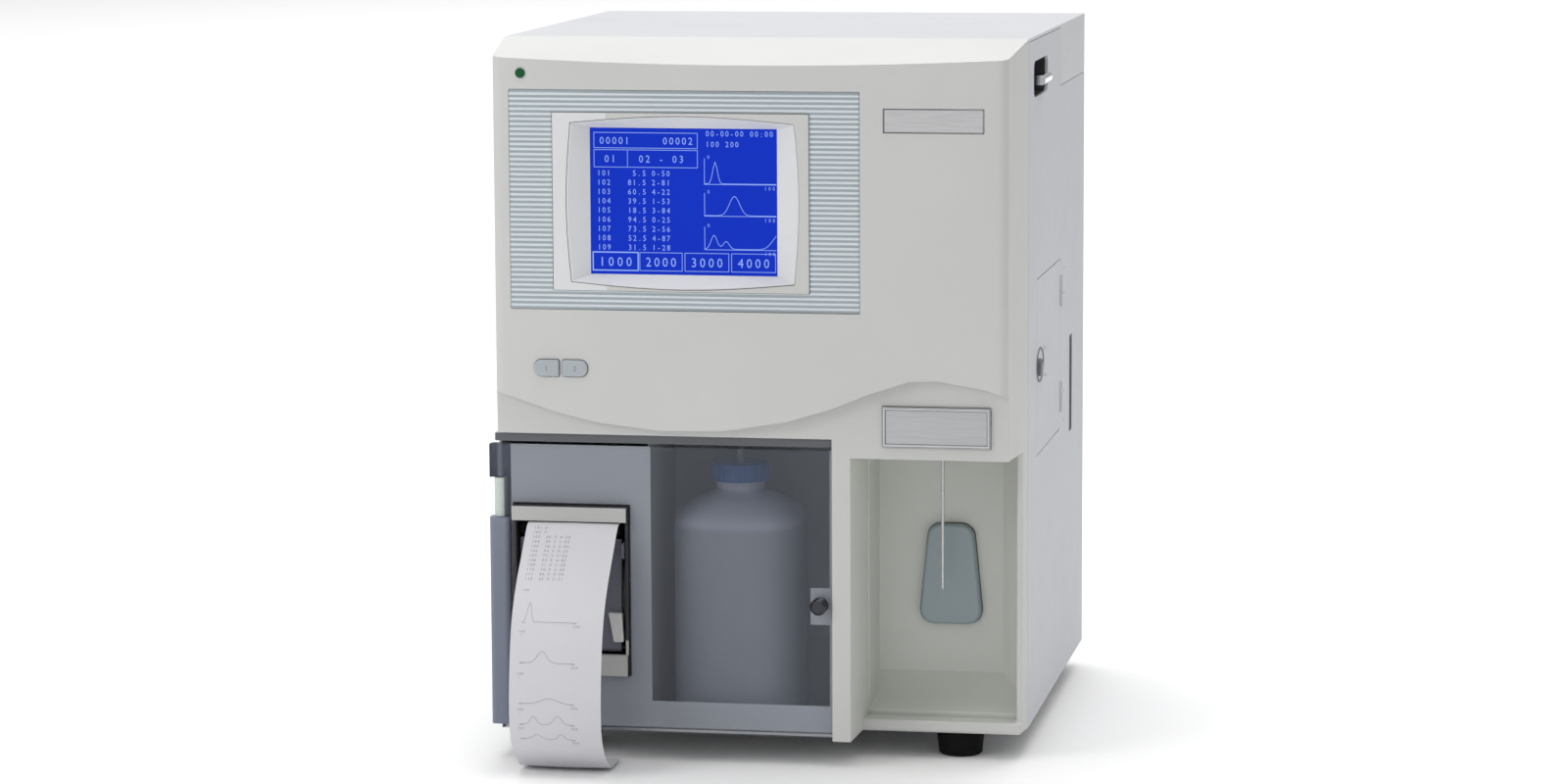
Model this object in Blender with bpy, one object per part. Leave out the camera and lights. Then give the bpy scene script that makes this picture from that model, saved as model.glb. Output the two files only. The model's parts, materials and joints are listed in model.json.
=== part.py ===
"""Bench-top hematology analyzer, built piece by piece.

Metres, +Z up, +X to the machine's right as seen from the front, +Y to the rear.
Every piece is drawn in the machine's own frame, where y = 0 is the front of the
upper fascia, x = 0 the middle of the case and z = 0 the bench. The "machine" empty
then moves the whole so that the origin lies under the middle of its outline.
"""

import math

import bmesh
import bpy
from mathutils import Matrix, Vector

# Clearances
GAP = 0.0003
SLIDE_GAP = 0.0004
OVERRUN = 0.01

# The case as a whole
CASE_WIDTH = 0.330
HALF = CASE_WIDTH / 2
CASE_DEPTH = 0.365
CASE_TOP = 0.4485
UNDERSIDE = 0.0165
PANEL = 0.002

# Front moulding
COVER_DEPTH = 0.062
COVER_WALL = 0.003
COVER_TAPER = 0.005
COVER_CORNER = 0.006
FASCIA_DROP = 0.0095
FASCIA_TOP = CASE_TOP - FASCIA_DROP
FASCIA_DIP = 0.004
FASCIA_CROWN = 0.002
LOWER_FACE = 0.008
FASCIA_BOTTOM = 0.2055
CROWN_STEPS = 14
CORNER_STEPS = 4

# Lower edge of the proud upper fascia: shares of the case's half width, then heights
WAVE_SHARES = (-1.0, -0.92, -0.74, -0.58, -0.34, -0.10, 0.14, 0.31, 0.45, 0.605, 0.715, 0.885, 0.97)
WAVE_HEIGHTS = (
    0.2360, 0.2303, 0.2205, 0.2144, 0.2098, 0.2105, 0.2168, 0.2253, 0.2348, 0.2432, 0.2438, 0.2387, 0.2341
)

# Pillar between door and sample bay, and the bay's opening in the moulding
PILLAR_PLACE_SHARE = 0.305
PILLAR_LEFT = HALF * PILLAR_PLACE_SHARE
PILLAR_WIDTH = 0.0114
PILLAR_RIGHT = PILLAR_LEFT + PILLAR_WIDTH
BAY_TOP = 0.194
BAY_LIP_FROM_SEAM = 0.018
BAY_LIP_FRONT = COVER_DEPTH - BAY_LIP_FROM_SEAM
BAY_LIP_TOP = 0.024
BAY_JAMB_FROM_SEAM = 0.015
BAY_JAMB_FRONT = COVER_DEPTH - BAY_JAMB_FROM_SEAM
BAY_JAMB = 0.005

# Sample bay tray
BAY_DEPTH = 0.033
BAY_BACK = COVER_DEPTH + BAY_DEPTH
BAY_WALL_DRAFT = 0.0046
BAY_CHAMFER = 0.0125
BAY_WALL = 0.002
BAY_FLOOR_SHARES = ((0.0, 0.0), (0.35, 0.14), (0.62, 0.33), (0.83, 0.62), (1.0, 1.0))
BAY_FLOOR_RISE = 0.022

# Keys
KEY_Z = 0.2476
KEY_FROM_SIDE = 0.0385
KEY_PITCH = 0.018
KEY_LEFT_X = -HALF + KEY_FROM_SIDE
KEY_RIGHT_X = KEY_LEFT_X + KEY_PITCH
KEY_WIDTH = 0.0158
KEY_HEIGHT = 0.0104
KEY_TOP = KEY_Z + KEY_HEIGHT / 2
KEY_ROUND = 0.0045
KEY_CORNER = 0.0012
KEY_OUT = 0.0028
KEY_LENGTH = 0.0105
KEY_FLANGE = 0.0012
KEY_FLANGE_THICK = 0.0012

# Stripe panel, screen and badge on the upper fascia
STRIPE_FROM_LEFT = 0.0165
STRIPE_FROM_RIGHT = 0.096
STRIPE_LEFT = -HALF + STRIPE_FROM_LEFT
STRIPE_RIGHT = HALF - STRIPE_FROM_RIGHT
STRIPE_LOW_SHARE = 0.169
STRIPE_HIGH_SHARE = 0.893
STRIPE_LOW = KEY_TOP + (FASCIA_TOP - KEY_TOP) * STRIPE_LOW_SHARE
STRIPE_HIGH = KEY_TOP + (FASCIA_TOP - KEY_TOP) * STRIPE_HIGH_SHARE
STRIPE_HEIGHT = STRIPE_HIGH - STRIPE_LOW
STRIPE_SEAT = 0.001
STRIPE_THICK = 0.0011
STRIPE_RIB = 0.0005
STRIPE_PITCH = 0.0031
FIELD_SIDE = 0.0265
FIELD_OTHER_SIDE = 0.0305
FIELD_BASE_SHARE = 0.0853
FIELD_CROWN_SHARE = 0.0987
FIELD_LOW = STRIPE_LOW + STRIPE_HEIGHT * FIELD_BASE_SHARE
FIELD_HIGH = STRIPE_HIGH - STRIPE_HEIGHT * FIELD_CROWN_SHARE
BEZEL_SIDE = 0.0115
BEZEL_OTHER_SIDE = 0.0092
BEZEL_BASE_SHARE = 0.040
BEZEL_CROWN_SHARE = 0.047
BEZEL_LEFT = STRIPE_LEFT + FIELD_SIDE + BEZEL_SIDE
BEZEL_RIGHT = STRIPE_RIGHT - FIELD_OTHER_SIDE - BEZEL_OTHER_SIDE
BEZEL_LOW = FIELD_LOW + STRIPE_HEIGHT * BEZEL_BASE_SHARE
BEZEL_HIGH = FIELD_HIGH - STRIPE_HEIGHT * BEZEL_CROWN_SHARE
BEZEL_DEPTH = 0.009
BEZEL_SIDE_BOW = 0.0029
BEZEL_CROWN_BOW = 0.0043
BEZEL_RIM = 0.0006
BEZEL_SINK = 0.0012
BOW_STEPS = 10
WINDOW_SIDE = 0.0112
WINDOW_OTHER_SIDE = 0.0121
WINDOW_BASE = 0.0045
WINDOW_CROWN = 0.0036
WINDOW_LEFT = BEZEL_LEFT + WINDOW_SIDE
WINDOW_RIGHT = BEZEL_RIGHT - WINDOW_OTHER_SIDE
WINDOW_LOW = BEZEL_LOW + WINDOW_BASE
WINDOW_HIGH = BEZEL_HIGH - WINDOW_CROWN
GLASS_THICK = 0.0018
GLASS_LAP = 0.0022
LCD_LAP = 0.012
LCD_THICK = 0.012
BADGE_FROM_SIDE = 0.020
BADGE_WIDTH = 0.061
BADGE_FROM_TOP = 0.0298
BADGE_HEIGHT = 0.0144
BADGE_RIGHT = HALF - BADGE_FROM_SIDE
BADGE_LEFT = BADGE_RIGHT - BADGE_WIDTH
BADGE_HIGH = FASCIA_TOP - BADGE_FROM_TOP
BADGE_LOW = BADGE_HIGH - BADGE_HEIGHT
BADGE_THICK = 0.0008
BADGE_SINK = 0.0006
NAME_FROM_SIDE = 0.0162
NAME_WIDTH = 0.0668
NAME_RIGHT = HALF - NAME_FROM_SIDE
NAME_LEFT = NAME_RIGHT - NAME_WIDTH
NAME_LOW = 0.2018
NAME_HIGH = 0.2268
NAME_THICK = 0.003
NAME_RIM = 0.0018
NAME_SEAT = 0.001
LED_FROM_SIDE = 0.0237
LED_PLACE_SHARE = 0.518
LED_X = -HALF + LED_FROM_SIDE
LED_Z = STRIPE_HIGH + (FASCIA_TOP - STRIPE_HIGH) * LED_PLACE_SHARE
LED_RADIUS = 0.0022
LED_RING = 0.0031
LED_LENGTH = 0.010
LED_OUT = 0.0012

# Feet
FOOT_FROM_SIDE = 0.0425
FOOT_FROM_REAR = 0.030
FOOT_X = HALF - FOOT_FROM_SIDE
FOOT_FROM_SEAM = 0.004
FOOT_FRONT_Y = COVER_DEPTH + FOOT_FROM_SEAM
FOOT_REAR_Y = CASE_DEPTH - FOOT_FROM_REAR
FOOT_RADIUS = 0.0152
FOOT_TIP_RADIUS = 0.0137
FOOT_CHAMFER = 0.0012

# Compartment behind the door
TRAY_FRONT = 0.0220
TRAY_WALL = 0.002
TRAY_LEFT_CLEAR = 0.0025
PARTITION_FROM_SEAM = 0.0505
PARTITION_Y = COVER_DEPTH + PARTITION_FROM_SEAM
PARTITION_THICK = 0.002
PARTITION_FROM_TOP = 0.0465
PARTITION_TOP = CASE_TOP - PARTITION_FROM_TOP
PARTITION_NOTCH = 0.010
DIVIDER_FROM_SIDE = 0.0965
DIVIDER_X = -HALF + DIVIDER_FROM_SIDE
DIVIDER_THICK = 0.0015
DIVIDER_SET = 0.009

# Smoked door
DOOR_FACE = 0.011
DOOR_THICK = 0.003
DOOR_LOW = 0.018
DOOR_EDGE = 0.0007
DOOR_RIGHT = PILLAR_LEFT - DOOR_EDGE
LINTEL_HEIGHT = 0.0055
DOOR_TOP_GAP = 0.0022
DOOR_TOP = FASCIA_BOTTOM - LINTEL_HEIGHT - DOOR_TOP_GAP
HINGE_FROM_SIDE = 0.005
HINGE_X = -HALF + HINGE_FROM_SIDE
HINGE_Y = 0.0140
HINGE_PIN = 0.0015
KNUCKLE_RADIUS = 0.0064
KNUCKLE_CLEAR = 0.0008
FIXED_KNUCKLE = 0.0038
FIXED_KNUCKLE_LOW = 0.152
FIXED_KNUCKLE_HIGH = 0.177
HINGE_ARM = 0.0032
HINGE_ARM_DEPTH = 0.026
MASK_THICK = 0.0008
MASK_LAP = 0.0040
MASK_RIGHT = DIVIDER_X + MASK_LAP
MASK_STRIP = 0.0017
MASK_BAND_TOP = 0.0375
LATCH_PAD_LEFT = 0.0066
LATCH_PAD_DROP = 0.0130
LATCH_PAD_RISE = 0.0100
LATCH_FROM_PILLAR = 0.0078
LATCH_X = PILLAR_LEFT - LATCH_FROM_PILLAR
LATCH_Z = 0.1017
KNOB_RADIUS = 0.0052
KNOB_OUT = 0.009
KNOB_WAIST = 0.0036
LATCH_SHAFT = 0.0018
LATCH_TONGUE = 0.0038
TONGUE_HALF = 0.0014
TONGUE_THICK = 0.0016
TONGUE_BACK = 0.0026
TONGUE_PLAY = 0.0007
CATCH_LEFT = 0.0007
CATCH_DEPTH = 0.016
CATCH_HEIGHT = 0.0165
CATCH_WALL = 0.0012
CATCH_LEG = 0.0008

# Reagent bottle
BOTTLE_SPAN_SHARE = 0.427
BOTTLE_WIDTH_SHARE = 0.673
BOTTLE_X = DIVIDER_X + (PILLAR_LEFT - DIVIDER_X) * BOTTLE_SPAN_SHARE
BOTTLE_PLACE_SHARE = 0.5616
BOTTLE_DEPTH_SHARE = 0.788
BOTTLE_Y = DOOR_FACE + (PARTITION_Y - DOOR_FACE) * BOTTLE_PLACE_SHARE
BOTTLE_WIDTH = (PILLAR_LEFT - DIVIDER_X) * BOTTLE_WIDTH_SHARE
BOTTLE_DEPTH = (PARTITION_Y - DOOR_FACE) * BOTTLE_DEPTH_SHARE
BOTTLE_SHOULDER = 0.122
BOTTLE_HEIGHT = 0.158
BOTTLE_NECK = 0.0155
BOTTLE_WALL = 0.0014
BOTTLE_FOOT = 0.004
BOTTLE_SIDES = 24
BOTTLE_SQUARENESS = 3.2
TRUE_ROUND = 2.0
BOTTLE_SHOULDER_SHARES = ((0.93, 0.22, 3.2), (0.68, 0.45, 2.4))
BOTTLE_NECK_SHARE = 0.58
CAP_WALL = 0.0023
CAP_RADIUS = BOTTLE_NECK + CAP_WALL
CAP_HEIGHT = 0.0115
CAP_TOP = 0.0025
CAP_BORE = 0.0029
TUBE_RADIUS = 0.0022
TUBE_SPREAD_SHARES = ((0.0, 0.0), (0.0, 0.35), (0.12, 0.72), (0.42, 1.0), (0.72, 0.98), (1.0, 0.9))
TUBE_DIP = 0.012
TUBE_RISE = 0.011
TUBE_STEPS = 6

# Printer
PRINTER_FROM_SIDE = 0.0136
PRINTER_FROM_DIVIDER = 0.0099
PRINTER_LEFT = -HALF + PRINTER_FROM_SIDE
PRINTER_RIGHT = DIVIDER_X - PRINTER_FROM_DIVIDER
PRINTER_LOW = 0.0534
PRINTER_HIGH = 0.1602
PRINTER_FRONT = 0.006
PRINTER_FROM_PARTITION = 0.0245
PRINTER_BACK = PARTITION_Y - PRINTER_FROM_PARTITION
PRINTER_WALL = 0.002
PRINTER_BAR = 0.0094
PRINTER_SILL = 0.0134
PRINTER_SIDE_FRONT = 0.0105
DOOR_CUT_CLEAR = 0.0009
LID_PIN_Y = 0.0165
LID_PIN_RISE = 0.0038
LID_PIN = 0.0012
LID_BARREL = 0.0030
LID_HIGH = 0.1388
LID_THICK = 0.0024
LID_LEAN = 0.0035
LID_SIDE = 0.0011
LEVER_WIDTH = 0.0014
LEVER_Z = 0.1325
LEVER_Y = 0.0195
LEVER_FRONT = 0.0085
LEVER_HALF = 0.0050
LEVER_PIN = 0.0012
PLATEN_Y = 0.0215
PLATEN_Z = 0.1446
PLATEN_RADIUS = 0.005
PLATEN_SHAFT = 0.0018
ROLL_FROM_BACK = 0.034
ROLL_Y = PRINTER_BACK - ROLL_FROM_BACK
ROLL_Z = 0.098
ROLL_RADIUS = 0.021
ROLL_CORE = 0.0062
SPINDLE = 0.0058
PAPER_WIDTH = 0.0575
PAPER_FROM_SIDE = 0.0396
PAPER_X = PRINTER_LEFT + PAPER_FROM_SIDE
PAPER_THICK = 0.0003
PAPER_START = 0.0185
PAPER_FLOOR = 0.0012
PAPER_HANG = ((0.0060, 0.0), (0.0, -0.0035), (-0.0095, -0.0130), (-0.0300, -0.0345), (-0.0430, -0.0565),
              (-0.0500, -0.0880), (-0.0508, -0.1165), (-0.0430, -0.1340), (-0.0300, -0.1440))
PAPER_TAIL_TURN = -0.020
PAPER_TAIL_END = 0.006
PAPER_STEPS = 4

# Sampling probe and its lift
PROBE_FROM_SIDE = 0.0546
PROBE_X = HALF - PROBE_FROM_SIDE
PROBE_FROM_SEAM = 0.008
PROBE_Y = COVER_DEPTH + PROBE_FROM_SEAM
PROBE_TIP = 0.1026
PROBE_RADIUS = 0.001
PROBE_POINT = 0.003
CARRIAGE_LOW = 0.222
CARRIAGE_HEIGHT = 0.018
CARRIAGE_HALF = 0.0235
CARRIAGE_FRONT = 0.0075
CARRIAGE_BACK = 0.022
ROD_FROM_PROBE = 0.015
ROD_Y = PROBE_Y + ROD_FROM_PROBE
ROD_SPREAD = 0.0165
ROD_RADIUS = 0.003
LIFT_LOW = 0.2005
LIFT_FROM_TOP = 0.0965
LIFT_HIGH = CASE_TOP - LIFT_FROM_TOP
LIFT_PLATE = 0.005
LIFT_SPINE = 0.002
PULLEY_RADIUS = 0.008
PULLEY_FLANGE = 0.0098
PULLEY_FLANGE_THICK = 0.0008
PULLEY_LOW_Z = 0.216
PULLEY_FROM_SHELF = 0.018
PULLEY_HIGH_Z = LIFT_HIGH - PULLEY_FROM_SHELF
BELT_WIDTH = 0.005
BELT_THICK = 0.0012
BELT_FROM_PARTITION = 0.014
BELT_Y = PARTITION_Y - BELT_FROM_PARTITION
MOTOR_SIZE = 0.035
MOTOR_LENGTH = 0.030
MOTOR_SHAFT = 0.0025
RINSE_RADIUS = 0.008

# Start plate
START_FROM_SIDE = 0.0525
START_X = HALF - START_FROM_SIDE
START_LOW = 0.0772
START_HIGH = 0.1412
START_TOP_HALF = 0.0152
START_FOOT_HALF = 0.0197
START_CORNER = 0.009
START_OUT = 0.0065
START_FLANGE = 0.002
START_FLANGE_THICK = 0.0015

# Right side: lever recess, hatch and slot
RECESS_FROM_SEAM = 0.024
RECESS_LENGTH = 0.072
RECESS_FRONT = COVER_DEPTH + RECESS_FROM_SEAM
RECESS_REAR = RECESS_FRONT + RECESS_LENGTH
RECESS_FROM_TOP = 0.0155
RECESS_HEIGHT = 0.0225
RECESS_HIGH = CASE_TOP - RECESS_FROM_TOP
RECESS_LOW = RECESS_HIGH - RECESS_HEIGHT
RECESS_DEPTH = 0.015
RECESS_WALL = 0.0015
SIDE_LEVER_DROP = 0.0125
SIDE_LEVER_Z = RECESS_HIGH - SIDE_LEVER_DROP
SIDE_LEVER_HALF = 0.0030
SIDE_LEVER_START = 0.016
SIDE_LEVER_WIDTH = 0.036
SIDE_LEVER_FRONT = RECESS_FRONT + SIDE_LEVER_START
SIDE_LEVER_REAR = SIDE_LEVER_FRONT + SIDE_LEVER_WIDTH
SIDE_LEVER_PIVOT = 0.005
SIDE_LEVER_OUT = 0.0052
SIDE_LEVER_BOSS = 0.0045
SIDE_LEVER_PIN = 0.002
HATCH_FROM_SEAM = 0.042
HATCH_LENGTH = 0.126
HATCH_FRONT = COVER_DEPTH + HATCH_FROM_SEAM
HATCH_REAR = HATCH_FRONT + HATCH_LENGTH
HATCH_LOW = 0.183
HATCH_HIGH = 0.2955
HATCH_THICK = 0.0015
HATCH_EDGE = 0.0005
HATCH_PIN = 0.0007
HATCH_BARREL = 0.0016
HATCH_BARREL_LENGTH = 0.010
HATCH_HINGE_SHARES = (0.19, 0.81)
HATCH_LATCH_FROM_EDGE = 0.0085
HATCH_LATCH_Y = HATCH_FRONT + HATCH_LATCH_FROM_EDGE
HATCH_LATCH_Z = 0.239
HATCH_KNOB = 0.0058
HATCH_KNOB_OUT = 0.0028
SLOT_SHARE = 0.437
SLOT_Y = HATCH_REAR + (CASE_DEPTH - HATCH_REAR) * SLOT_SHARE
SLOT_WIDTH = 0.003
SLOT_LOW = 0.1755
SLOT_HIGH = 0.2367
SKIRT_FRONT = 0.229
SKIRT_HEIGHT = 0.0395
SKIRT_LOW = CASE_TOP - SKIRT_HEIGHT

# Rear panel
FAN_FROM_SIDE = 0.080
FAN_FROM_TOP = 0.1185
FAN_X = -HALF + FAN_FROM_SIDE
FAN_Z = CASE_TOP - FAN_FROM_TOP
FAN_SIZE = 0.080
FAN_BORE = 0.037
FAN_THICK = 0.020
FAN_HUB = 0.014
FAN_PIN = 0.002
FAN_BLADES = 7
FAN_BLADE_THICK = 0.0016
FAN_BLADE_PITCH = 35.0
FAN_SPIDER = 0.004
GRILLE_BARS = 7
GRILLE_SLOT = 0.006
INLET_FROM_SIDE = 0.045
INLET_X = -HALF + INLET_FROM_SIDE
INLET_Z = 0.075
INLET_WIDTH = 0.030
INLET_HEIGHT = 0.052
INLET_DEPTH = 0.030
INLET_RIM = 0.003
SOCKET_WIDTH = 0.022
SOCKET_HEIGHT = 0.017
SOCKET_DEPTH = 0.014
ROCKER_WIDTH = 0.011
ROCKER_HEIGHT = 0.016
ROCKER_OUT = 0.003
ROCKER_BODY = 0.010
ROCKER_PIN = 0.001
PORT_RADIUS = 0.005
PORT_BORE = 0.0025
PORT_LENGTH = 0.012
PORT_PITCH = 0.022
PORT_FROM_SIDE = 0.105
PORT_X = HALF - PORT_FROM_SIDE
PORT_Z = 0.090
PORTS = 4

# Inside, behind the partition
BOARD_FROM_LEFT = 0.015
BOARD_FROM_RIGHT = 0.135
BOARD_FROM_TOP = 0.007
BOARD_LEFT = -HALF + BOARD_FROM_LEFT
BOARD_RIGHT = HALF - BOARD_FROM_RIGHT
BOARD_LOW = 0.215
BOARD_HIGH = PARTITION_TOP - BOARD_FROM_TOP
BOARD_THICK = 0.0016
STANDOFF = 0.008
STANDOFF_RADIUS = 0.003
STANDOFF_INSET = 0.008
CHIP_THICK = 0.004
CHIP_SHARES = (
    (0.12, 0.2, 0.18, 0.16), (0.42, 0.3, 0.22, 0.24), (0.74, 0.62, 0.16, 0.22), (0.16, 0.66, 0.3, 0.12)
)
SUPPLY_FROM_SIDE = 0.010
SUPPLY_LEFT = -HALF + SUPPLY_FROM_SIDE
SUPPLY_WIDTH = 0.100
SUPPLY_FROM_PARTITION = 0.0175
SUPPLY_FRONT = PARTITION_Y + SUPPLY_FROM_PARTITION
SUPPLY_FROM_REAR = 0.055
SUPPLY_LENGTH = CASE_DEPTH - SUPPLY_FROM_REAR - SUPPLY_FRONT
SUPPLY_HEIGHT = 0.048
CHAMBER_FROM_SIDE = 0.047
CHAMBER_X = HALF - CHAMBER_FROM_SIDE
CHAMBER_FROM_PARTITION = 0.0525
CHAMBER_Y = PARTITION_Y + CHAMBER_FROM_PARTITION
CHAMBER_LOW = 0.196
CHAMBER_HEIGHT = 0.070
CHAMBER_RADIUS = 0.017
CHAMBER_WALL = 0.002
CHAMBER_PLATE = 0.006
CHAMBER_SPREAD = 0.040
SYRINGE_FROM_SIDE = 0.135
SYRINGE_X = HALF - SYRINGE_FROM_SIDE
SYRINGE_FROM_PARTITION = 0.0475
SYRINGE_Y = PARTITION_Y + SYRINGE_FROM_PARTITION
SYRINGE_LOW = 0.095
SYRINGE_LENGTH = 0.080
SYRINGE_RADIUS = 0.012
SYRINGE_WALL = 0.0018
SYRINGE_PLATE = 0.006
SYRINGE_ROD = 0.004
SYRINGE_PISTON = 0.012
SYRINGE_TAIL = 0.020

ROUND = 24
SMALL_ROUND = 12

# The machine's outline in plan, which sets the origin
REAR_REACH = PORT_LENGTH
FRONT_REACH = -min(point[0] for point in PAPER_HANG)
MACHINE_Y = (FRONT_REACH - CASE_DEPTH - REAR_REACH) / 2

COLOURS = {
    "case": ((0.58, 0.58, 0.56), 0.45, 0.0),
    "side": ((0.45, 0.47, 0.50), 0.5, 0.0),
    "bay": ((0.36, 0.38, 0.33), 0.5, 0.0),
    "stripe": ((0.40, 0.48, 0.50), 0.5, 0.0),
    "bezel": ((0.68, 0.69, 0.67), 0.4, 0.0),
    "screen": ((0.0, 0.03, 0.60), 0.15, 0.0),
    "dark": ((0.03, 0.03, 0.035), 0.5, 0.0),
    "metal": ((0.60, 0.61, 0.62), 0.35, 1.0),
    "steel": ((0.70, 0.70, 0.70), 0.25, 1.0),
    "smoke": ((0.12, 0.14, 0.18), 0.15, 0.0),
    "mask": ((0.24, 0.26, 0.31), 0.5, 0.0),
    "key": ((0.42, 0.52, 0.57), 0.4, 0.0),
    "start": ((0.16, 0.23, 0.26), 0.35, 0.0),
    "rubber": ((0.01, 0.01, 0.01), 0.8, 0.0),
    "bottle": ((0.80, 0.82, 0.84), 0.4, 0.0),
    "cap": ((0.05, 0.16, 0.45), 0.4, 0.0),
    "paper": ((0.80, 0.80, 0.80), 0.9, 0.0),
    "board": ((0.02, 0.16, 0.06), 0.5, 0.0),
    "clear": ((0.75, 0.80, 0.82), 0.1, 0.0),
    "led": ((0.03, 0.35, 0.10), 0.2, 0.0),
}

machine = None


def clear_scene():
    for obj in list(bpy.data.objects):
        bpy.data.objects.remove(obj, do_unlink=True)
    for mesh in list(bpy.data.meshes):
        bpy.data.meshes.remove(mesh)


def finish_of(slot):
    """One material for each kind of surface."""
    found = bpy.data.materials.get(slot)
    if found:
        return found
    colour, roughness, metallic = COLOURS[slot]
    found = bpy.data.materials.new(slot)
    found.use_nodes = True
    shader = found.node_tree.nodes["Principled BSDF"]
    shader.inputs["Base Color"].default_value = (*colour, 1.0)
    shader.inputs["Roughness"].default_value = roughness
    shader.inputs["Metallic"].default_value = metallic
    return found


# Building blocks. Each returns a plain mesh object, still unnamed and unparented.


def as_object(bm):
    bmesh.ops.remove_doubles(bm, verts=bm.verts, dist=GAP / 100)
    bmesh.ops.recalc_face_normals(bm, faces=bm.faces)
    mesh = bpy.data.meshes.new("piece")
    bm.to_mesh(mesh)
    bm.free()
    obj = bpy.data.objects.new("piece", mesh)
    bpy.context.collection.objects.link(obj)
    return obj


def place(axis, u, v, w):
    """A point from two coordinates across an axis and one along it, in X, Y, Z order."""
    return {"X": Vector((w, u, v)), "Y": Vector((u, w, v)), "Z": Vector((u, v, w))}[axis]


def prism(outline, axis, low, high):
    """An outline extruded along an axis."""
    bm = bmesh.new()
    ends = [[bm.verts.new(place(axis, u, v, w)) for u, v in outline] for w in (low, high)]
    bm.faces.new(ends[0])
    bm.faces.new(ends[1])
    count = len(outline)
    for i in range(count):
        j = (i + 1) % count
        bm.faces.new((ends[0][i], ends[0][j], ends[1][j], ends[1][i]))
    return as_object(bm)


def loft(rings, closed=False):
    """Rings of equally many points, joined one to the next and capped, or closed into a loop."""
    bm = bmesh.new()
    made = [[bm.verts.new(p) for p in ring] for ring in rings]
    count = len(rings[0])
    pairs = list(zip(made, made[1:]))
    if closed:
        pairs.append((made[-1], made[0]))
    else:
        bm.faces.new(made[0])
        bm.faces.new(made[-1])
    for first, second in pairs:
        for i in range(count):
            j = (i + 1) % count
            bm.faces.new((first[i], first[j], second[j], second[i]))
    return as_object(bm)


def box(x, y, z):
    return prism(((x[0], y[0]), (x[1], y[0]), (x[1], y[1]), (x[0], y[1])), "Z", z[0], z[1])


def circle(u, v, radius, steps=ROUND):
    return [
        (u + radius * math.cos(math.tau * i / steps), v + radius * math.sin(math.tau * i / steps))
        for i in range(steps)
    ]


def cylinder(axis, u, v, radius, low, high, steps=ROUND):
    return prism(circle(u, v, radius, steps), axis, low, high)


def turned(axis, u, v, profile, steps=ROUND):
    """A profile of (radius, place along the axis) turned round an axis; no radius is zero."""
    rings = [[place(axis, a, b, w) for a, b in circle(u, v, radius, steps)] for radius, w in profile]
    return loft(rings)


def turned_ring(axis, u, v, profile, steps=ROUND):
    """A closed profile turned round an axis, with a bore through it."""
    rings = [[place(axis, a, b, w) for a, b in circle(u, v, radius, steps)] for radius, w in profile]
    return loft(rings, closed=True)


def rounded(left, right, low, high, radius, steps=CORNER_STEPS):
    """A rectangle with round corners, anticlockwise."""
    corners = ((right, high, 0), (left, high, 1), (left, low, 2), (right, low, 3))
    points = []
    for u, v, quarter in corners:
        cu = u - radius if u == right else u + radius
        cv = v - radius if v == high else v + radius
        for i in range(steps + 1):
            angle = math.pi / 2 * (quarter + i / steps)
            points.append((cu + radius * math.cos(angle), cv + radius * math.sin(angle)))
    return points


def plate(left, right, low, high, radius, front, back):
    """A round-cornered plate facing the front."""
    return prism(rounded(left, right, low, high, radius), "Y", front, back)


def combine(target, others, operation):
    """Cuts the others from the target, or joins them to it, and removes them."""
    for other in others:
        step = target.modifiers.new("step", "BOOLEAN")
        step.operation = operation
        step.solver = "EXACT"
        step.object = other
        bpy.context.view_layer.update()
        graph = bpy.context.evaluated_depsgraph_get()
        mesh = bpy.data.meshes.new_from_object(target.evaluated_get(graph))
        target.modifiers.remove(step)
        target.data = mesh
        bpy.data.objects.remove(other, do_unlink=True)
    return target


def cut(target, *others):
    return combine(target, others, "DIFFERENCE")


def join(target, *others):
    return combine(target, others, "UNION")


def keep_common(target, *others):
    return combine(target, others, "INTERSECT")


def name_piece(obj, name, slot, origin=None, smooth=False):
    """Names a piece, gives it its finish, hangs it on the machine and sets its own origin."""
    obj.name = name
    obj.data.name = name
    if origin:
        obj.data.transform(Matrix.Translation(-Vector(origin)))
        obj.location = origin
    obj.data.materials.clear()
    obj.data.materials.append(finish_of(slot))
    if smooth:
        obj.data.shade_smooth()
        obj.data.set_sharp_from_angle(angle=math.radians(40))
    obj.parent = machine
    return obj


# Front moulding


def cover_plan(inset, back):
    """The moulding in plan: crowned front, round corners and sides that widen to the seam."""
    radius = COVER_CORNER - inset / 2
    inner = HALF - COVER_TAPER - inset - radius
    half = []
    for i in range(CROWN_STEPS + 1):
        share = i / CROWN_STEPS
        half.append((inner * share, inset + FASCIA_CROWN * share * share))
    for i in range(1, CORNER_STEPS + 1):
        angle = math.pi / 2 * i / CORNER_STEPS
        half.append(
            (inner + radius * math.sin(angle), inset + FASCIA_CROWN + radius - radius * math.cos(angle))
        )
    half += [(HALF - inset, COVER_DEPTH), (HALF - inset, back)]
    return [(-u, v) for u, v in reversed(half[1:])] + half


def slope_height(u, v):
    """Height of the moulding's sloping top, with its dipped front edge."""
    front = FASCIA_TOP - FASCIA_DIP * (1 - (u / HALF) ** 2)
    return front + (CASE_TOP - front) * min(1.0, v / COVER_DEPTH)


def cover_solid(inset, back, low):
    """The moulding as a filled block, or the space inside it when inset by the wall."""
    rings = []
    for i in range(-CROWN_STEPS, CROWN_STEPS + 1):
        u = (HALF + OVERRUN) * i / CROWN_STEPS
        rings.append(
            [
                Vector((u, -OVERRUN, low)), Vector((u, -OVERRUN, slope_height(u, -OVERRUN) - inset)),
                Vector((u, COVER_DEPTH, CASE_TOP - inset)), Vector((u, back + OVERRUN, CASE_TOP - inset)),
                Vector((u, back + OVERRUN, low)),
            ]
        )
    return keep_common(loft(rings), prism(cover_plan(inset, back), "Z", 0, CASE_TOP + OVERRUN))


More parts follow.
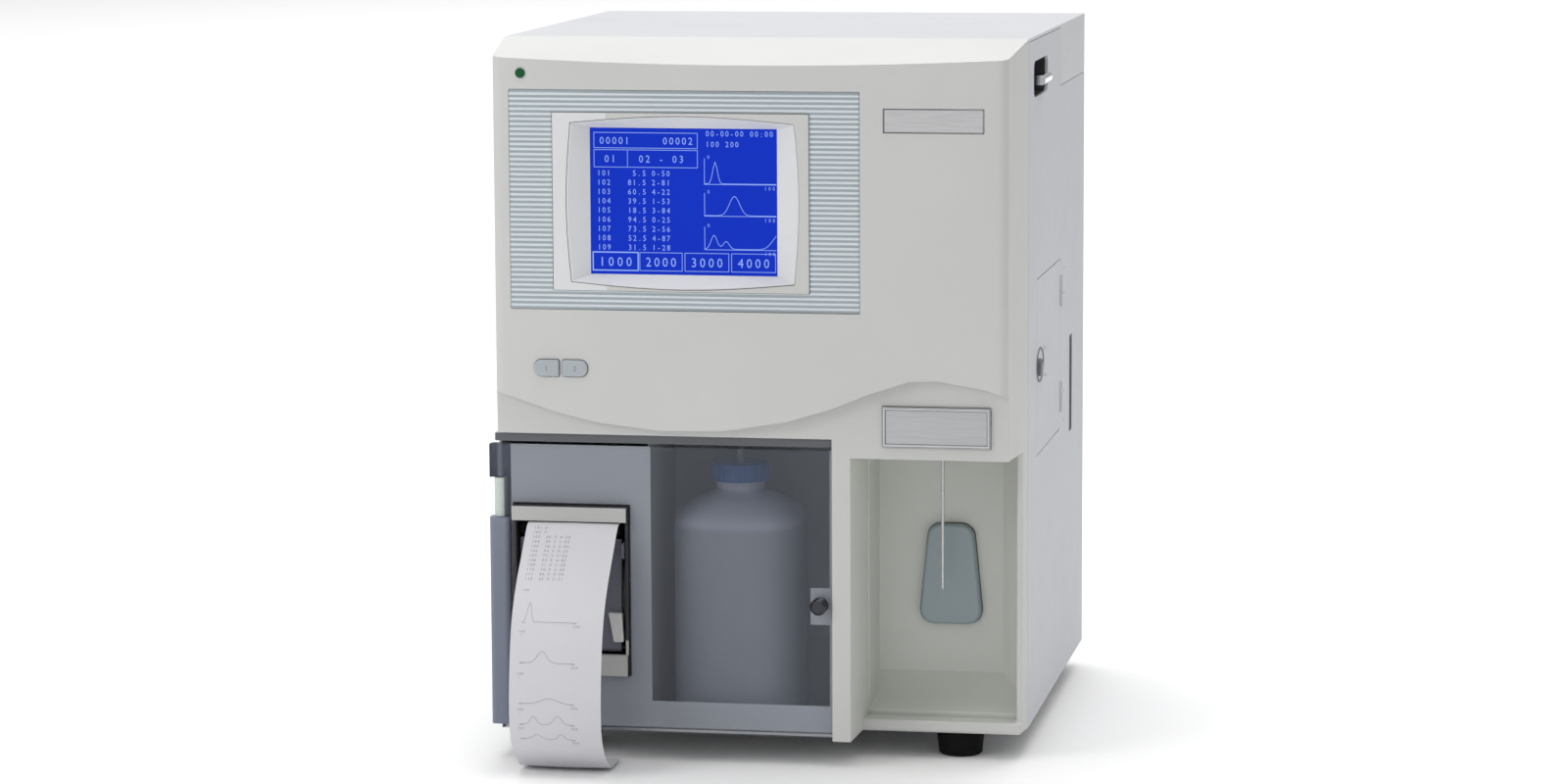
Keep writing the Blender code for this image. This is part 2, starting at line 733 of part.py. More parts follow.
def wave_cutter():
    """Everything in front of the lower face, under the wave."""
    edge = [(HALF * share, height) for share, height in zip(WAVE_SHARES, WAVE_HEIGHTS)]
    edge[0] = (-HALF - OVERRUN, edge[0][1])
    edge.append((HALF + OVERRUN, edge[-1][1]))
    outline = edge + [(HALF + OVERRUN, 0), (-HALF - OVERRUN, 0)]
    return prism(outline, "Y", -OVERRUN, LOWER_FACE)


def pillar_edge(y):
    """Where the bay's left wall stands, which leans to the right towards the back."""
    return PILLAR_RIGHT + BAY_WALL_DRAFT * (y - LOWER_FACE) / (BAY_BACK - LOWER_FACE)


def bay_cutters():
    """The sample bay's mouth: open in front, round the right corner and down to the bench."""
    left_front, left_back = pillar_edge(0), pillar_edge(BAY_LIP_FRONT)
    left_seam = pillar_edge(COVER_DEPTH + OVERRUN)
    right = HALF + OVERRUN
    front = prism(
        ((left_front, -OVERRUN), (right, -OVERRUN), (right, BAY_LIP_FRONT), (left_back, BAY_LIP_FRONT)),
        "Z", 0, BAY_TOP,
    )
    middle = prism(
        ((left_back, BAY_LIP_FRONT - GAP), (right, BAY_LIP_FRONT - GAP), (right, BAY_JAMB_FRONT),
         (pillar_edge(BAY_JAMB_FRONT), BAY_JAMB_FRONT)),
        "Z", BAY_LIP_TOP, BAY_TOP,
    )
    rear = prism(
        ((pillar_edge(BAY_JAMB_FRONT), BAY_JAMB_FRONT - GAP), (HALF - BAY_JAMB, BAY_JAMB_FRONT - GAP),
         (HALF - BAY_JAMB, COVER_DEPTH + OVERRUN), (left_seam, COVER_DEPTH + OVERRUN)),
        "Z", BAY_LIP_TOP, BAY_TOP,
    )
    return front, middle, rear


def key_outline(centre, side, grow):
    """A key's face: one long round end, one square end with small corners."""
    half = KEY_WIDTH / 2 + grow
    rise = KEY_HEIGHT / 2 + grow
    big, small = KEY_ROUND + grow, KEY_CORNER + grow / 2
    corners = ((1, 1), (-1, 1), (-1, -1), (1, -1))
    points = []
    for quarter, (su, sv) in enumerate(corners):
        radius = big if su == side else small
        cu, cv = centre + su * (half - radius), KEY_Z + sv * (rise - radius)
        for i in range(CORNER_STEPS + 1):
            angle = math.pi / 2 * (quarter + i / CORNER_STEPS)
            points.append((cu + radius * math.cos(angle), cv + radius * math.sin(angle)))
    return points


def build_front_cover():
    cover = cover_solid(0, COVER_DEPTH, UNDERSIDE)
    space = cover_solid(COVER_WALL, COVER_DEPTH + OVERRUN, FASCIA_BOTTOM + COVER_WALL)
    wave_back = [(HALF * share, height + COVER_WALL) for share, height in zip(WAVE_SHARES, WAVE_HEIGHTS)]
    wave_back[0] = (-HALF, wave_back[0][1])
    wave_back[-1] = (HALF, wave_back[-1][1])
    band = prism(wave_back + [(HALF, 0), (-HALF, 0)], "Y", -OVERRUN, LOWER_FACE + COVER_WALL)
    space = cut(space, band)
    cover = cut(cover, wave_cutter(), space)
    door_space = box(
        (-HALF + PANEL, PILLAR_LEFT), (-OVERRUN, COVER_DEPTH + OVERRUN), (0, FASCIA_BOTTOM)
    )
    door_front = box((-HALF - OVERRUN, PILLAR_LEFT), (-OVERRUN, TRAY_FRONT), (0, FASCIA_BOTTOM))
    cover = cut(cover, door_space, door_front, *bay_cutters())
    over_bay = box(
        (pillar_edge(COVER_DEPTH) + COVER_WALL, HALF - BAY_JAMB - COVER_WALL),
        (LOWER_FACE + COVER_WALL, COVER_DEPTH + OVERRUN),
        (BAY_TOP + COVER_WALL, FASCIA_BOTTOM + COVER_WALL + GAP),
    )
    screen_hole = prism(bezel_outline(0), "Y", -OVERRUN, BEZEL_DEPTH)
    stripe_seat = box(
        (STRIPE_LEFT - GAP, STRIPE_RIGHT + GAP), (-OVERRUN, FASCIA_CROWN + STRIPE_SEAT),
        (STRIPE_LOW - GAP, STRIPE_HIGH + GAP),
    )
    stripe_seat = cut(stripe_seat, plain_field(-GAP))
    badge_seat = box(
        (BADGE_LEFT - GAP, BADGE_RIGHT + GAP), (-OVERRUN, FASCIA_CROWN + BADGE_SINK),
        (BADGE_LOW - GAP, BADGE_HIGH + GAP),
    )
    name_seat = box(
        (NAME_LEFT - GAP, NAME_RIGHT + GAP), (-OVERRUN, LOWER_FACE + NAME_SEAT),
        (NAME_LOW - GAP, NAME_HIGH + GAP),
    )
    led_hole = cylinder("Y", LED_X, LED_Z, LED_RADIUS + GAP, -OVERRUN, OVERRUN, SMALL_ROUND)
    key_holes = [
        prism(key_outline(x, side, SLIDE_GAP), "Y", -OVERRUN, OVERRUN)
        for x, side in ((KEY_LEFT_X, -1), (KEY_RIGHT_X, 1))
    ]
    cover = cut(cover, over_bay, stripe_seat, screen_hole, badge_seat, name_seat, led_hole, *key_holes)
    name_piece(cover, "front_cover", "case")


def face_seat():
    """Depth of the flat seat milled for the stripe panel."""
    return FASCIA_CROWN + STRIPE_SEAT - GAP


def plain_field(grow):
    """The plain part of the fascia inside the ring of ribs."""
    return box(
        (STRIPE_LEFT + FIELD_SIDE - grow, STRIPE_RIGHT - FIELD_OTHER_SIDE + grow), (-OVERRUN * 2, OVERRUN),
        (FIELD_LOW - grow, FIELD_HIGH + grow),
    )


def build_stripe_panel():
    """A ring of fine horizontal ribs round the plain field."""
    back = face_seat()
    front = back - STRIPE_THICK
    count = int((STRIPE_HIGH - STRIPE_LOW) / STRIPE_PITCH)
    start = (STRIPE_LOW + STRIPE_HIGH - count * STRIPE_PITCH) / 2
    profile = [(back, STRIPE_LOW), (front, STRIPE_LOW)]
    for i in range(count):
        base = start + i * STRIPE_PITCH
        profile += [(front, base + STRIPE_PITCH / 4), (front - STRIPE_RIB, base + STRIPE_PITCH / 3)]
        profile += [(front - STRIPE_RIB, base + STRIPE_PITCH * 2 / 3), (front, base + STRIPE_PITCH * 3 / 4)]
    profile += [(front, STRIPE_HIGH), (back, STRIPE_HIGH)]
    panel = prism(profile, "X", STRIPE_LEFT, STRIPE_RIGHT)
    name_piece(cut(panel, plain_field(0)), "stripe_panel", "stripe")


def bowed(left, right, low, high, side_bow, crown_bow):
    """A rectangle whose four sides bulge outwards."""
    points = []
    corners = ((left, low), (right, low), (right, high), (left, high))
    outward = ((0, -1), (1, 0), (0, 1), (-1, 0))
    for i in range(4):
        (u0, v0), (u1, v1) = corners[i], corners[(i + 1) % 4]
        nu, nv = outward[i]
        for k in range(BOW_STEPS):
            share = k / BOW_STEPS
            swell = (side_bow if nu else crown_bow) * math.sin(math.pi * share)
            points.append((u0 + (u1 - u0) * share + nu * swell, v0 + (v1 - v0) * share + nv * swell))
    return points


def bezel_outline(inset):
    """The barrel-shaped outline that the screen's bezel fills."""
    return bowed(
        BEZEL_LEFT + inset, BEZEL_RIGHT - inset, BEZEL_LOW + inset, BEZEL_HIGH - inset,
        BEZEL_SIDE_BOW, BEZEL_CROWN_BOW,
    )


def build_screen():
    front = BEZEL_SINK
    back = front + BEZEL_DEPTH
    frame = prism(bezel_outline(GAP), "Y", front, back)
    throat = bowed(WINDOW_LEFT, WINDOW_RIGHT, WINDOW_LOW, WINDOW_HIGH, 0, 0)
    glass_front = back - GLASS_THICK
    opening = loft(
        [
            [Vector((u, front - GAP, v)) for u, v in bezel_outline(BEZEL_RIM)],
            [Vector((u, glass_front - GAP, v)) for u, v in throat],
            [Vector((u, back + OVERRUN, v)) for u, v in throat],
        ]
    )
    glass_seat = box(
        (WINDOW_LEFT - GLASS_LAP, WINDOW_RIGHT + GLASS_LAP), (glass_front - GAP, back + OVERRUN),
        (WINDOW_LOW - GLASS_LAP, WINDOW_HIGH + GLASS_LAP),
    )
    name_piece(cut(frame, opening, glass_seat), "screen_bezel", "bezel")
    glass = box(
        (WINDOW_LEFT - GLASS_LAP + GAP, WINDOW_RIGHT + GLASS_LAP - GAP), (glass_front, back),
        (WINDOW_LOW - GLASS_LAP + GAP, WINDOW_HIGH + GLASS_LAP - GAP),
    )
    name_piece(glass, "screen_glass", "screen")
    lcd = box(
        (WINDOW_LEFT - LCD_LAP, WINDOW_RIGHT + LCD_LAP), (back + GAP, back + GAP + LCD_THICK),
        (WINDOW_LOW - LCD_LAP / 2, WINDOW_HIGH + LCD_LAP / 2),
    )
    name_piece(lcd, "lcd_module", "metal")


def build_badges():
    seat = FASCIA_CROWN + BADGE_SINK - GAP
    badge = plate(BADGE_LEFT, BADGE_RIGHT, BADGE_LOW, BADGE_HIGH, BADGE_THICK, seat - BADGE_THICK, seat)
    name_piece(badge, "badge_plate", "bezel")
    back = LOWER_FACE + NAME_SEAT - GAP
    front = back - NAME_THICK
    name = box((NAME_LEFT, NAME_RIGHT), (front, back), (NAME_LOW, NAME_HIGH))
    sink = box(
        (NAME_LEFT + NAME_RIM, NAME_RIGHT - NAME_RIM), (front - OVERRUN, front + NAME_RIM / 2),
        (NAME_LOW + NAME_RIM, NAME_HIGH - NAME_RIM),
    )
    name_piece(cut(name, sink), "name_plate", "metal")
    led = turned(
        "Y", LED_X, LED_Z,
        [
            (LED_RADIUS, LED_LENGTH), (LED_RADIUS, FASCIA_CROWN - GAP),
            (LED_RING, FASCIA_CROWN - LED_OUT / 2 - GAP), (LED_RING, FASCIA_CROWN - LED_OUT),
            (LED_RADIUS, FASCIA_CROWN - LED_OUT),
            (LED_RADIUS / 2, FASCIA_CROWN - LED_OUT * 4 / 3),
        ],
        SMALL_ROUND,
    )
    name_piece(led, "status_led", "led", smooth=True)


def build_keys():
    for name, x, side in (("key_left", KEY_LEFT_X, -1), ("key_right", KEY_RIGHT_X, 1)):
        face = FASCIA_CROWN - KEY_OUT
        inside = COVER_WALL + FASCIA_CROWN + GAP
        cap = prism(key_outline(x, side, 0), "Y", face, face + KEY_LENGTH)
        flange = prism(key_outline(x, side, KEY_FLANGE / 2), "Y", inside, inside + KEY_FLANGE_THICK)
        name_piece(join(cap, flange), name, "key", origin=(x, face, KEY_Z))


# Case panels


def build_panels():
    front = COVER_DEPTH + GAP
    back = CASE_DEPTH - PANEL - GAP
    top = CASE_TOP - PANEL - GAP
    roof = box((-HALF, HALF), (front, CASE_DEPTH), (CASE_TOP - PANEL, CASE_TOP))
    skirts = [
        box((side * (HALF - PANEL / 2) - PANEL / 2, side * (HALF - PANEL / 2) + PANEL / 2),
            (SKIRT_FRONT, CASE_DEPTH), (SKIRT_LOW, CASE_TOP - PANEL / 2))
        for side in (-1, 1)
    ]
    name_piece(join(roof, *skirts), "top_cover", "case")
    for name, side in (("left_side_panel", -1), ("right_side_panel", 1)):
        outer, inner = side * HALF, side * (HALF - PANEL)
        panel = box((min(outer, inner), max(outer, inner)), (front, back), (UNDERSIDE, top))
        step = box(
            (-HALF - OVERRUN, HALF + OVERRUN), (SKIRT_FRONT - GAP, CASE_DEPTH), (SKIRT_LOW - GAP, CASE_TOP)
        )
        panel = cut(panel, step)
        if side > 0:
            panel = cut_right_side(panel)
        name_piece(panel, name, "side")
    base = prism(
        (
            (-HALF + PANEL + GAP, TRAY_FRONT), (PILLAR_LEFT - GAP, TRAY_FRONT),
            (PILLAR_LEFT - GAP, front), (HALF - PANEL - GAP, front),
            (HALF - PANEL - GAP, back), (-HALF + PANEL + GAP, back),
        ),
        "Z", UNDERSIDE, UNDERSIDE + PANEL,
    )
    name_piece(base, "base_plate", "metal")
    partition = box(
        (-HALF + PANEL + GAP, HALF - PANEL - GAP), (PARTITION_Y, PARTITION_Y + PARTITION_THICK),
        (UNDERSIDE + PANEL + GAP, PARTITION_TOP),
    )
    latch_room = box(
        (HALF - PARTITION_NOTCH, HALF), (PARTITION_Y - OVERRUN, PARTITION_Y + OVERRUN),
        (HATCH_LOW - PANEL, HATCH_HIGH + PANEL),
    )
    shaft_hole = cylinder(
        "Y", PROBE_X, PULLEY_LOW_Z, MOTOR_SHAFT + SLIDE_GAP, PARTITION_Y - OVERRUN, PARTITION_Y + OVERRUN,
        SMALL_ROUND,
    )
    name_piece(cut(partition, shaft_hole, latch_room), "partition_plate", "metal")


def cut_right_side(panel):
    """Openings for the lever recess, the hatch and the slot, and the hatch's fixed hinge eyes."""
    across = (HALF - PANEL - OVERRUN, HALF + OVERRUN)
    recess = prism(
        rounded(RECESS_FRONT, RECESS_REAR, RECESS_LOW, RECESS_HIGH, (RECESS_HIGH - RECESS_LOW) / 4),
        "X", *across,
    )
    hatch = box(across, (HATCH_FRONT, HATCH_REAR), (HATCH_LOW, HATCH_HIGH))
    slot = box(across, (SLOT_Y - SLOT_WIDTH / 2, SLOT_Y + SLOT_WIDTH / 2), (SLOT_LOW, SLOT_HIGH))
    panel = cut(panel, recess, hatch, slot)
    axis_x, axis_y = hatch_axis()
    for share in HATCH_HINGE_SHARES:
        middle = HATCH_LOW + (HATCH_HIGH - HATCH_LOW) * share
        low = middle - HATCH_BARREL_LENGTH
        eye = cylinder("Z", axis_x, axis_y, HATCH_BARREL, low, middle - GAP, SMALL_ROUND)
        leaf = box(
            (HALF - PANEL / 2, HALF), (axis_y, axis_y + HATCH_BARREL * 2), (low, middle - GAP)
        )
        pin = cylinder("Z", axis_x, axis_y, HATCH_PIN, low + GAP, middle + HATCH_BARREL_LENGTH, SMALL_ROUND)
        room = cylinder(
            "Z", axis_x, axis_y, HATCH_BARREL + SLIDE_GAP, middle - GAP, middle + HATCH_BARREL_LENGTH + GAP,
            SMALL_ROUND,
        )
        panel = join(cut(panel, room), eye, leaf, pin)
    return panel


def hatch_axis():
    return HALF, HATCH_REAR + HATCH_EDGE


def build_hatch():
    outer = HALF
    inner = HALF - HATCH_THICK
    hatch = box(
        (inner, outer), (HATCH_FRONT + HATCH_EDGE, HATCH_REAR - HATCH_EDGE),
        (HATCH_LOW + HATCH_EDGE, HATCH_HIGH - HATCH_EDGE),
    )
    axis_x, axis_y = hatch_axis()
    for share in HATCH_HINGE_SHARES:
        middle = HATCH_LOW + (HATCH_HIGH - HATCH_LOW) * share
        room = box(
            (inner - OVERRUN, outer + OVERRUN), (axis_y - HATCH_BARREL - GAP, axis_y),
            (middle - HATCH_BARREL_LENGTH - GAP, middle),
        )
        barrel = cylinder(
            "Z", axis_x, axis_y, HATCH_BARREL, middle, middle + HATCH_BARREL_LENGTH, SMALL_ROUND
        )
        leaf = box(
            (inner, outer), (axis_y - HATCH_BARREL - HATCH_EDGE * 2, axis_y - HATCH_PIN - HATCH_EDGE),
            (middle, middle + HATCH_BARREL_LENGTH),
        )
        bore = cylinder(
            "Z", axis_x, axis_y, HATCH_PIN + GAP, middle - GAP, middle + HATCH_BARREL_LENGTH + GAP,
            SMALL_ROUND,
        )
        hatch = cut(join(cut(hatch, room), barrel, leaf), bore)
    latch_hole = cylinder(
        "X", HATCH_LATCH_Y, HATCH_LATCH_Z, LATCH_SHAFT + SLIDE_GAP, inner - OVERRUN, outer + OVERRUN,
        SMALL_ROUND,
    )
    name_piece(cut(hatch, latch_hole), "side_hatch", "side", origin=(axis_x, axis_y, HATCH_LOW))
    knob = turned(
        "X", HATCH_LATCH_Y, HATCH_LATCH_Z,
        [(LATCH_SHAFT, inner - TONGUE_BACK), (LATCH_SHAFT, outer + GAP), (HATCH_KNOB, outer + GAP),
         (HATCH_KNOB, outer + HATCH_KNOB_OUT * 2 / 3), (HATCH_KNOB * 4 / 5, outer + HATCH_KNOB_OUT)],
        SMALL_ROUND,
    )
    grip = box(
        (outer + HATCH_KNOB_OUT * 2 / 3, outer + HATCH_KNOB_OUT + OVERRUN),
        (HATCH_LATCH_Y - LATCH_SHAFT / 2, HATCH_LATCH_Y + LATCH_SHAFT / 2),
        (HATCH_LATCH_Z - HATCH_KNOB * 2, HATCH_LATCH_Z + HATCH_KNOB * 2),
    )
    reach = HATCH_LATCH_Y - HATCH_FRONT + TONGUE_THICK
    tongue = box(
        (inner - TONGUE_BACK, inner - TONGUE_BACK + TONGUE_THICK),
        (HATCH_LATCH_Y - TONGUE_HALF, HATCH_LATCH_Y + TONGUE_HALF),
        (HATCH_LATCH_Z - reach, HATCH_LATCH_Z + TONGUE_HALF),
    )
    latch = join(cut(knob, grip), tongue)
    name_piece(latch, "hatch_latch", "metal", origin=(outer, HATCH_LATCH_Y, HATCH_LATCH_Z))


def build_side_lever():
    inner = HALF - PANEL - GAP
    radius = (RECESS_HIGH - RECESS_LOW) / 4
    tray = prism(
        rounded(RECESS_FRONT - RECESS_WALL, RECESS_REAR + RECESS_WALL, RECESS_LOW - RECESS_WALL,
                RECESS_HIGH + RECESS_WALL, radius),
        "X", inner - RECESS_DEPTH, inner,
    )
    hollow = prism(
        rounded(RECESS_FRONT, RECESS_REAR, RECESS_LOW, RECESS_HIGH, radius),
        "X", inner - RECESS_DEPTH + RECESS_WALL, inner + OVERRUN,
    )
    pivot = inner - RECESS_DEPTH + RECESS_WALL + SIDE_LEVER_PIVOT
    pin = cylinder(
        "Y", pivot, SIDE_LEVER_Z, SIDE_LEVER_PIN, RECESS_FRONT - RECESS_WALL / 2,
        RECESS_REAR + RECESS_WALL / 2, SMALL_ROUND,
    )
    name_piece(join(cut(tray, hollow), pin), "lever_recess", "dark")
    blade = prism(
        rounded(pivot, HALF + SIDE_LEVER_OUT, SIDE_LEVER_Z - SIDE_LEVER_HALF, SIDE_LEVER_Z + SIDE_LEVER_HALF,
                SIDE_LEVER_HALF * 3 / 4),
        "Y", SIDE_LEVER_FRONT, SIDE_LEVER_REAR,
    )
    boss = cylinder("Y", pivot, SIDE_LEVER_Z, SIDE_LEVER_BOSS, SIDE_LEVER_FRONT, SIDE_LEVER_REAR, SMALL_ROUND)
    bore = cylinder(
        "Y", pivot, SIDE_LEVER_Z, SIDE_LEVER_PIN + GAP, SIDE_LEVER_FRONT - OVERRUN, SIDE_LEVER_REAR + OVERRUN,
        SMALL_ROUND,
    )
    lever = cut(join(blade, boss), bore)
    name_piece(lever, "power_lever", "steel", origin=(pivot, SIDE_LEVER_FRONT, SIDE_LEVER_Z))


def build_feet():
    for row, y in (("front", FOOT_FRONT_Y), ("rear", FOOT_REAR_Y)):
        for hand, side in (("left", -1), ("right", 1)):
            profile = [
                (FOOT_TIP_RADIUS - FOOT_CHAMFER, 0), (FOOT_TIP_RADIUS, FOOT_CHAMFER),
                (FOOT_RADIUS, UNDERSIDE - GAP),
            ]
            foot = turned("Z", side * FOOT_X, y, profile)
            name_piece(foot, f"foot_{row}_{hand}", "rubber", origin=(side * FOOT_X, y, 0), smooth=True)


# Sample bay


def build_bay():
    front, back = COVER_DEPTH + GAP, BAY_BACK
    left, right = pillar_edge(front), HALF - BAY_JAMB
    outer_right = HALF - PANEL - GAP
    top = BAY_TOP - GAP
    tray = prism(
        (
            (left - BAY_WALL, front), (outer_right, front),
            (outer_right, back - BAY_CHAMFER), (outer_right - BAY_CHAMFER, back + BAY_WALL),
            (left - BAY_WALL, back + BAY_WALL),
        ),
        "Z", UNDERSIDE + PANEL + GAP, top,
    )
    room = prism(
        (
            (left, front - OVERRUN), (right, front - OVERRUN), (right, back - BAY_CHAMFER),
            (right - BAY_CHAMFER - BAY_WALL, back), (pillar_edge(back), back),
        ),
        "Z", 0, top - BAY_WALL,
    )
    slope_back = BAY_BACK - BAY_JAMB_FRONT
    floor = [
        (BAY_JAMB_FRONT + slope_back * a, BAY_LIP_TOP + BAY_FLOOR_RISE * b) for a, b in BAY_FLOOR_SHARES
    ]
    side_view = [(front - OVERRUN, floor[0][1])] + [p for p in floor if p[0] > front - OVERRUN]
    side_view += [(back + OVERRUN, floor[-1][1]), (back + OVERRUN, CASE_TOP), (front - OVERRUN, CASE_TOP)]
    above_floor = prism(side_view, "X", 0, HALF + OVERRUN)
    tray = cut(tray, keep_common(room, above_floor))
    plate_hole = prism(start_outline(SLIDE_GAP), "Y", back - OVERRUN, back + OVERRUN)
    needle_hole = cylinder(
        "Z", PROBE_X, PROBE_Y, PROBE_RADIUS * 3, top - BAY_WALL - OVERRUN, top + OVERRUN, SMALL_ROUND
    )
    name_piece(cut(tray, plate_hole, needle_hole), "sample_bay_liner", "bay")


def start_outline(grow):
    """The start plate's face: narrower at the top, with round corners."""
    top, foot = START_TOP_HALF + grow, START_FOOT_HALF + grow
    low, high = START_LOW - grow, START_HIGH + grow
    radius = START_CORNER
    points = []
    corners = ((1, 1, top, high), (-1, 1, top, high), (-1, -1, foot, low), (1, -1, foot, low))
    for quarter, (su, sv, half, level) in enumerate(corners):
        for i in range(CORNER_STEPS + 1):
            angle = math.pi / 2 * (quarter + i / CORNER_STEPS)
            points.append(
                (START_X + su * (half - radius) + radius * math.cos(angle),
                 level - sv * radius + radius * math.sin(angle))
            )
    return points


def build_start_plate():
    front = BAY_BACK - START_OUT
    inside = BAY_BACK + BAY_WALL + GAP
    body = prism(start_outline(0), "Y", front, inside + START_FLANGE_THICK)
    flange = prism(start_outline(START_FLANGE), "Y", inside, inside + START_FLANGE_THICK)
    middle = (START_LOW + START_HIGH) / 2
    name_piece(join(body, flange), "start_plate", "start", origin=(START_X, front, middle))


# Probe lift


def build_probe():
    top = CARRIAGE_LOW + CARRIAGE_HEIGHT
    needle = turned(
        "Z", PROBE_X, PROBE_Y,
        [
            (PROBE_RADIUS / 3, PROBE_TIP), (PROBE_RADIUS, PROBE_TIP + PROBE_POINT),
            (PROBE_RADIUS, top + PROBE_POINT),
        ],
        SMALL_ROUND,
    )
    name_piece(needle, "probe_needle", "steel", smooth=True)
    back = ROD_Y + CARRIAGE_BACK / 2 - ROD_RADIUS
    carriage = box(
        (PROBE_X - CARRIAGE_HALF, PROBE_X + CARRIAGE_HALF), (PROBE_Y - CARRIAGE_FRONT, back),
        (CARRIAGE_LOW, top),
    )
    strand = PROBE_X - PULLEY_RADIUS - GAP - BELT_THICK
    tab = box(
        (strand - GAP - BELT_WIDTH, strand - GAP), (back - GAP, BELT_Y + BELT_WIDTH),
        (CARRIAGE_LOW, top),
    )
    bores = [
        cylinder("Z", PROBE_X + side * ROD_SPREAD, ROD_Y, ROD_RADIUS + SLIDE_GAP, 0, CASE_TOP, SMALL_ROUND)
        for side in (-1, 1)
    ]
    bores.append(cylinder("Z", PROBE_X, PROBE_Y, PROBE_RADIUS + GAP, 0, CASE_TOP, SMALL_ROUND))
    carriage = cut(join(carriage, tab), *bores)
    name_piece(carriage, "probe_carriage", "dark", origin=(PROBE_X, PROBE_Y, CARRIAGE_LOW))
    for name, side in (("guide_rod_left", -1), ("guide_rod_right", 1)):
        rod = cylinder(
            "Z", PROBE_X + side * ROD_SPREAD, ROD_Y, ROD_RADIUS, LIFT_LOW, LIFT_HIGH, SMALL_ROUND
        )
        name_piece(rod, name, "steel", smooth=True)
    build_lift_frame()
    rinse_top = LIFT_LOW - GAP
    rinse = turned_ring(
        "Z", PROBE_X, PROBE_Y,
        [
            (PROBE_RADIUS * 2, BAY_TOP), (RINSE_RADIUS, BAY_TOP), (RINSE_RADIUS, rinse_top),
            (PROBE_RADIUS * 2, rinse_top),
        ],
        SMALL_ROUND,
    )
    name_piece(rinse, "rinse_block", "clear")


def build_lift_frame():
    """Two shelves on a spine, which hold the guide rods, the idler's pin and the needle guide."""
    left, right = PROBE_X - CARRIAGE_HALF, PROBE_X + CARRIAGE_HALF
    spine_front = PARTITION_Y - GAP - LIFT_SPINE
    frame = box((left, right), (spine_front, PARTITION_Y - GAP), (LIFT_LOW, LIFT_HIGH))
    low_shelf = box(
        (left, right), (PROBE_Y - CARRIAGE_FRONT, spine_front + GAP), (LIFT_LOW, LIFT_LOW + LIFT_PLATE)
    )
    high_shelf = box(
        (left, right), (PROBE_Y - CARRIAGE_FRONT, spine_front + GAP), (LIFT_HIGH - LIFT_PLATE, LIFT_HIGH)
    )
    pin = cylinder(
        "Y", PROBE_X, PULLEY_HIGH_Z, MOTOR_SHAFT, BELT_Y - PULLEY_FLANGE_THICK, spine_front + GAP, SMALL_ROUND
    )
    frame = join(frame, low_shelf, high_shelf, pin)
    holes = [
        cylinder("Z", PROBE_X + side * ROD_SPREAD, ROD_Y, ROD_RADIUS + GAP, 0, CASE_TOP, SMALL_ROUND)
        for side in (-1, 1)
    ]
    holes.append(cylinder("Z", PROBE_X, PROBE_Y, PROBE_RADIUS * 2, 0, CASE_TOP, SMALL_ROUND))
    holes.append(
        cylinder(
            "Y", PROBE_X, PULLEY_LOW_Z, MOTOR_SHAFT + SLIDE_GAP, spine_front - GAP, CASE_DEPTH, SMALL_ROUND
        )
    )
    name_piece(cut(frame, *holes), "lift_frame", "metal")


def pulley_profile(bore):
    front = BELT_Y - PULLEY_FLANGE_THICK - GAP
    back = BELT_Y + BELT_WIDTH + PULLEY_FLANGE_THICK + GAP
    return [
        (bore, front), (PULLEY_FLANGE, front), (PULLEY_FLANGE, BELT_Y - GAP), (PULLEY_RADIUS, BELT_Y - GAP),
        (PULLEY_RADIUS, BELT_Y + BELT_WIDTH + GAP), (PULLEY_FLANGE, BELT_Y + BELT_WIDTH + GAP),
        (PULLEY_FLANGE, back), (bore, back),
    ]


def build_drive():
    front = BELT_Y - PULLEY_FLANGE_THICK - GAP
    motor_front = PARTITION_Y + PARTITION_THICK + GAP
    pulley = turned_ring("Y", PROBE_X, PULLEY_LOW_Z, pulley_profile(MOTOR_SHAFT / 2), ROUND)
    shaft = cylinder(
        "Y", PROBE_X, PULLEY_LOW_Z, MOTOR_SHAFT, front, motor_front + MOTOR_LENGTH / 3, SMALL_ROUND
    )
    name_piece(
        join(pulley, shaft), "drive_pulley", "steel", origin=(PROBE_X, BELT_Y, PULLEY_LOW_Z)
    )
    idler = turned_ring("Y", PROBE_X, PULLEY_HIGH_Z, pulley_profile(MOTOR_SHAFT + SLIDE_GAP), ROUND)
    name_piece(idler, "idler_pulley", "steel", origin=(PROBE_X, BELT_Y, PULLEY_HIGH_Z))
    rings = []
    for radius in (PULLEY_RADIUS + GAP + BELT_THICK, PULLEY_RADIUS + GAP):
        outline = []
        for centre, start in ((PULLEY_HIGH_Z, 0), (PULLEY_LOW_Z, math.pi)):
            for i in range(ROUND // 2 + 1):
                angle = start + math.pi * i / (ROUND // 2)
                outline.append((PROBE_X + radius * math.cos(angle), centre + radius * math.sin(angle)))
        rings.append(outline)
    outer, inner = rings
    depth = (BELT_Y, BELT_Y + BELT_WIDTH)
    belt = loft(
        [
            [Vector((u, depth[0], v)) for u, v in outer], [Vector((u, depth[1], v)) for u, v in outer],
            [Vector((u, depth[1], v)) for u, v in inner], [Vector((u, depth[0], v)) for u, v in inner],
        ],
        closed=True,
    )
    name_piece(belt, "lift_belt", "rubber")
    half = MOTOR_SIZE / 2
    motor = plate(
        PROBE_X - half, PROBE_X + half, PULLEY_LOW_Z - half, PULLEY_LOW_Z + half, half / 4,
        motor_front, motor_front + MOTOR_LENGTH,
    )
    bore = cylinder(
        "Y", PROBE_X, PULLEY_LOW_Z, MOTOR_SHAFT + GAP, motor_front - OVERRUN, motor_front + MOTOR_LENGTH / 2,
        SMALL_ROUND,
    )
    name_piece(cut(motor, bore), "lift_motor", "dark")


# Compartment, door and bottle


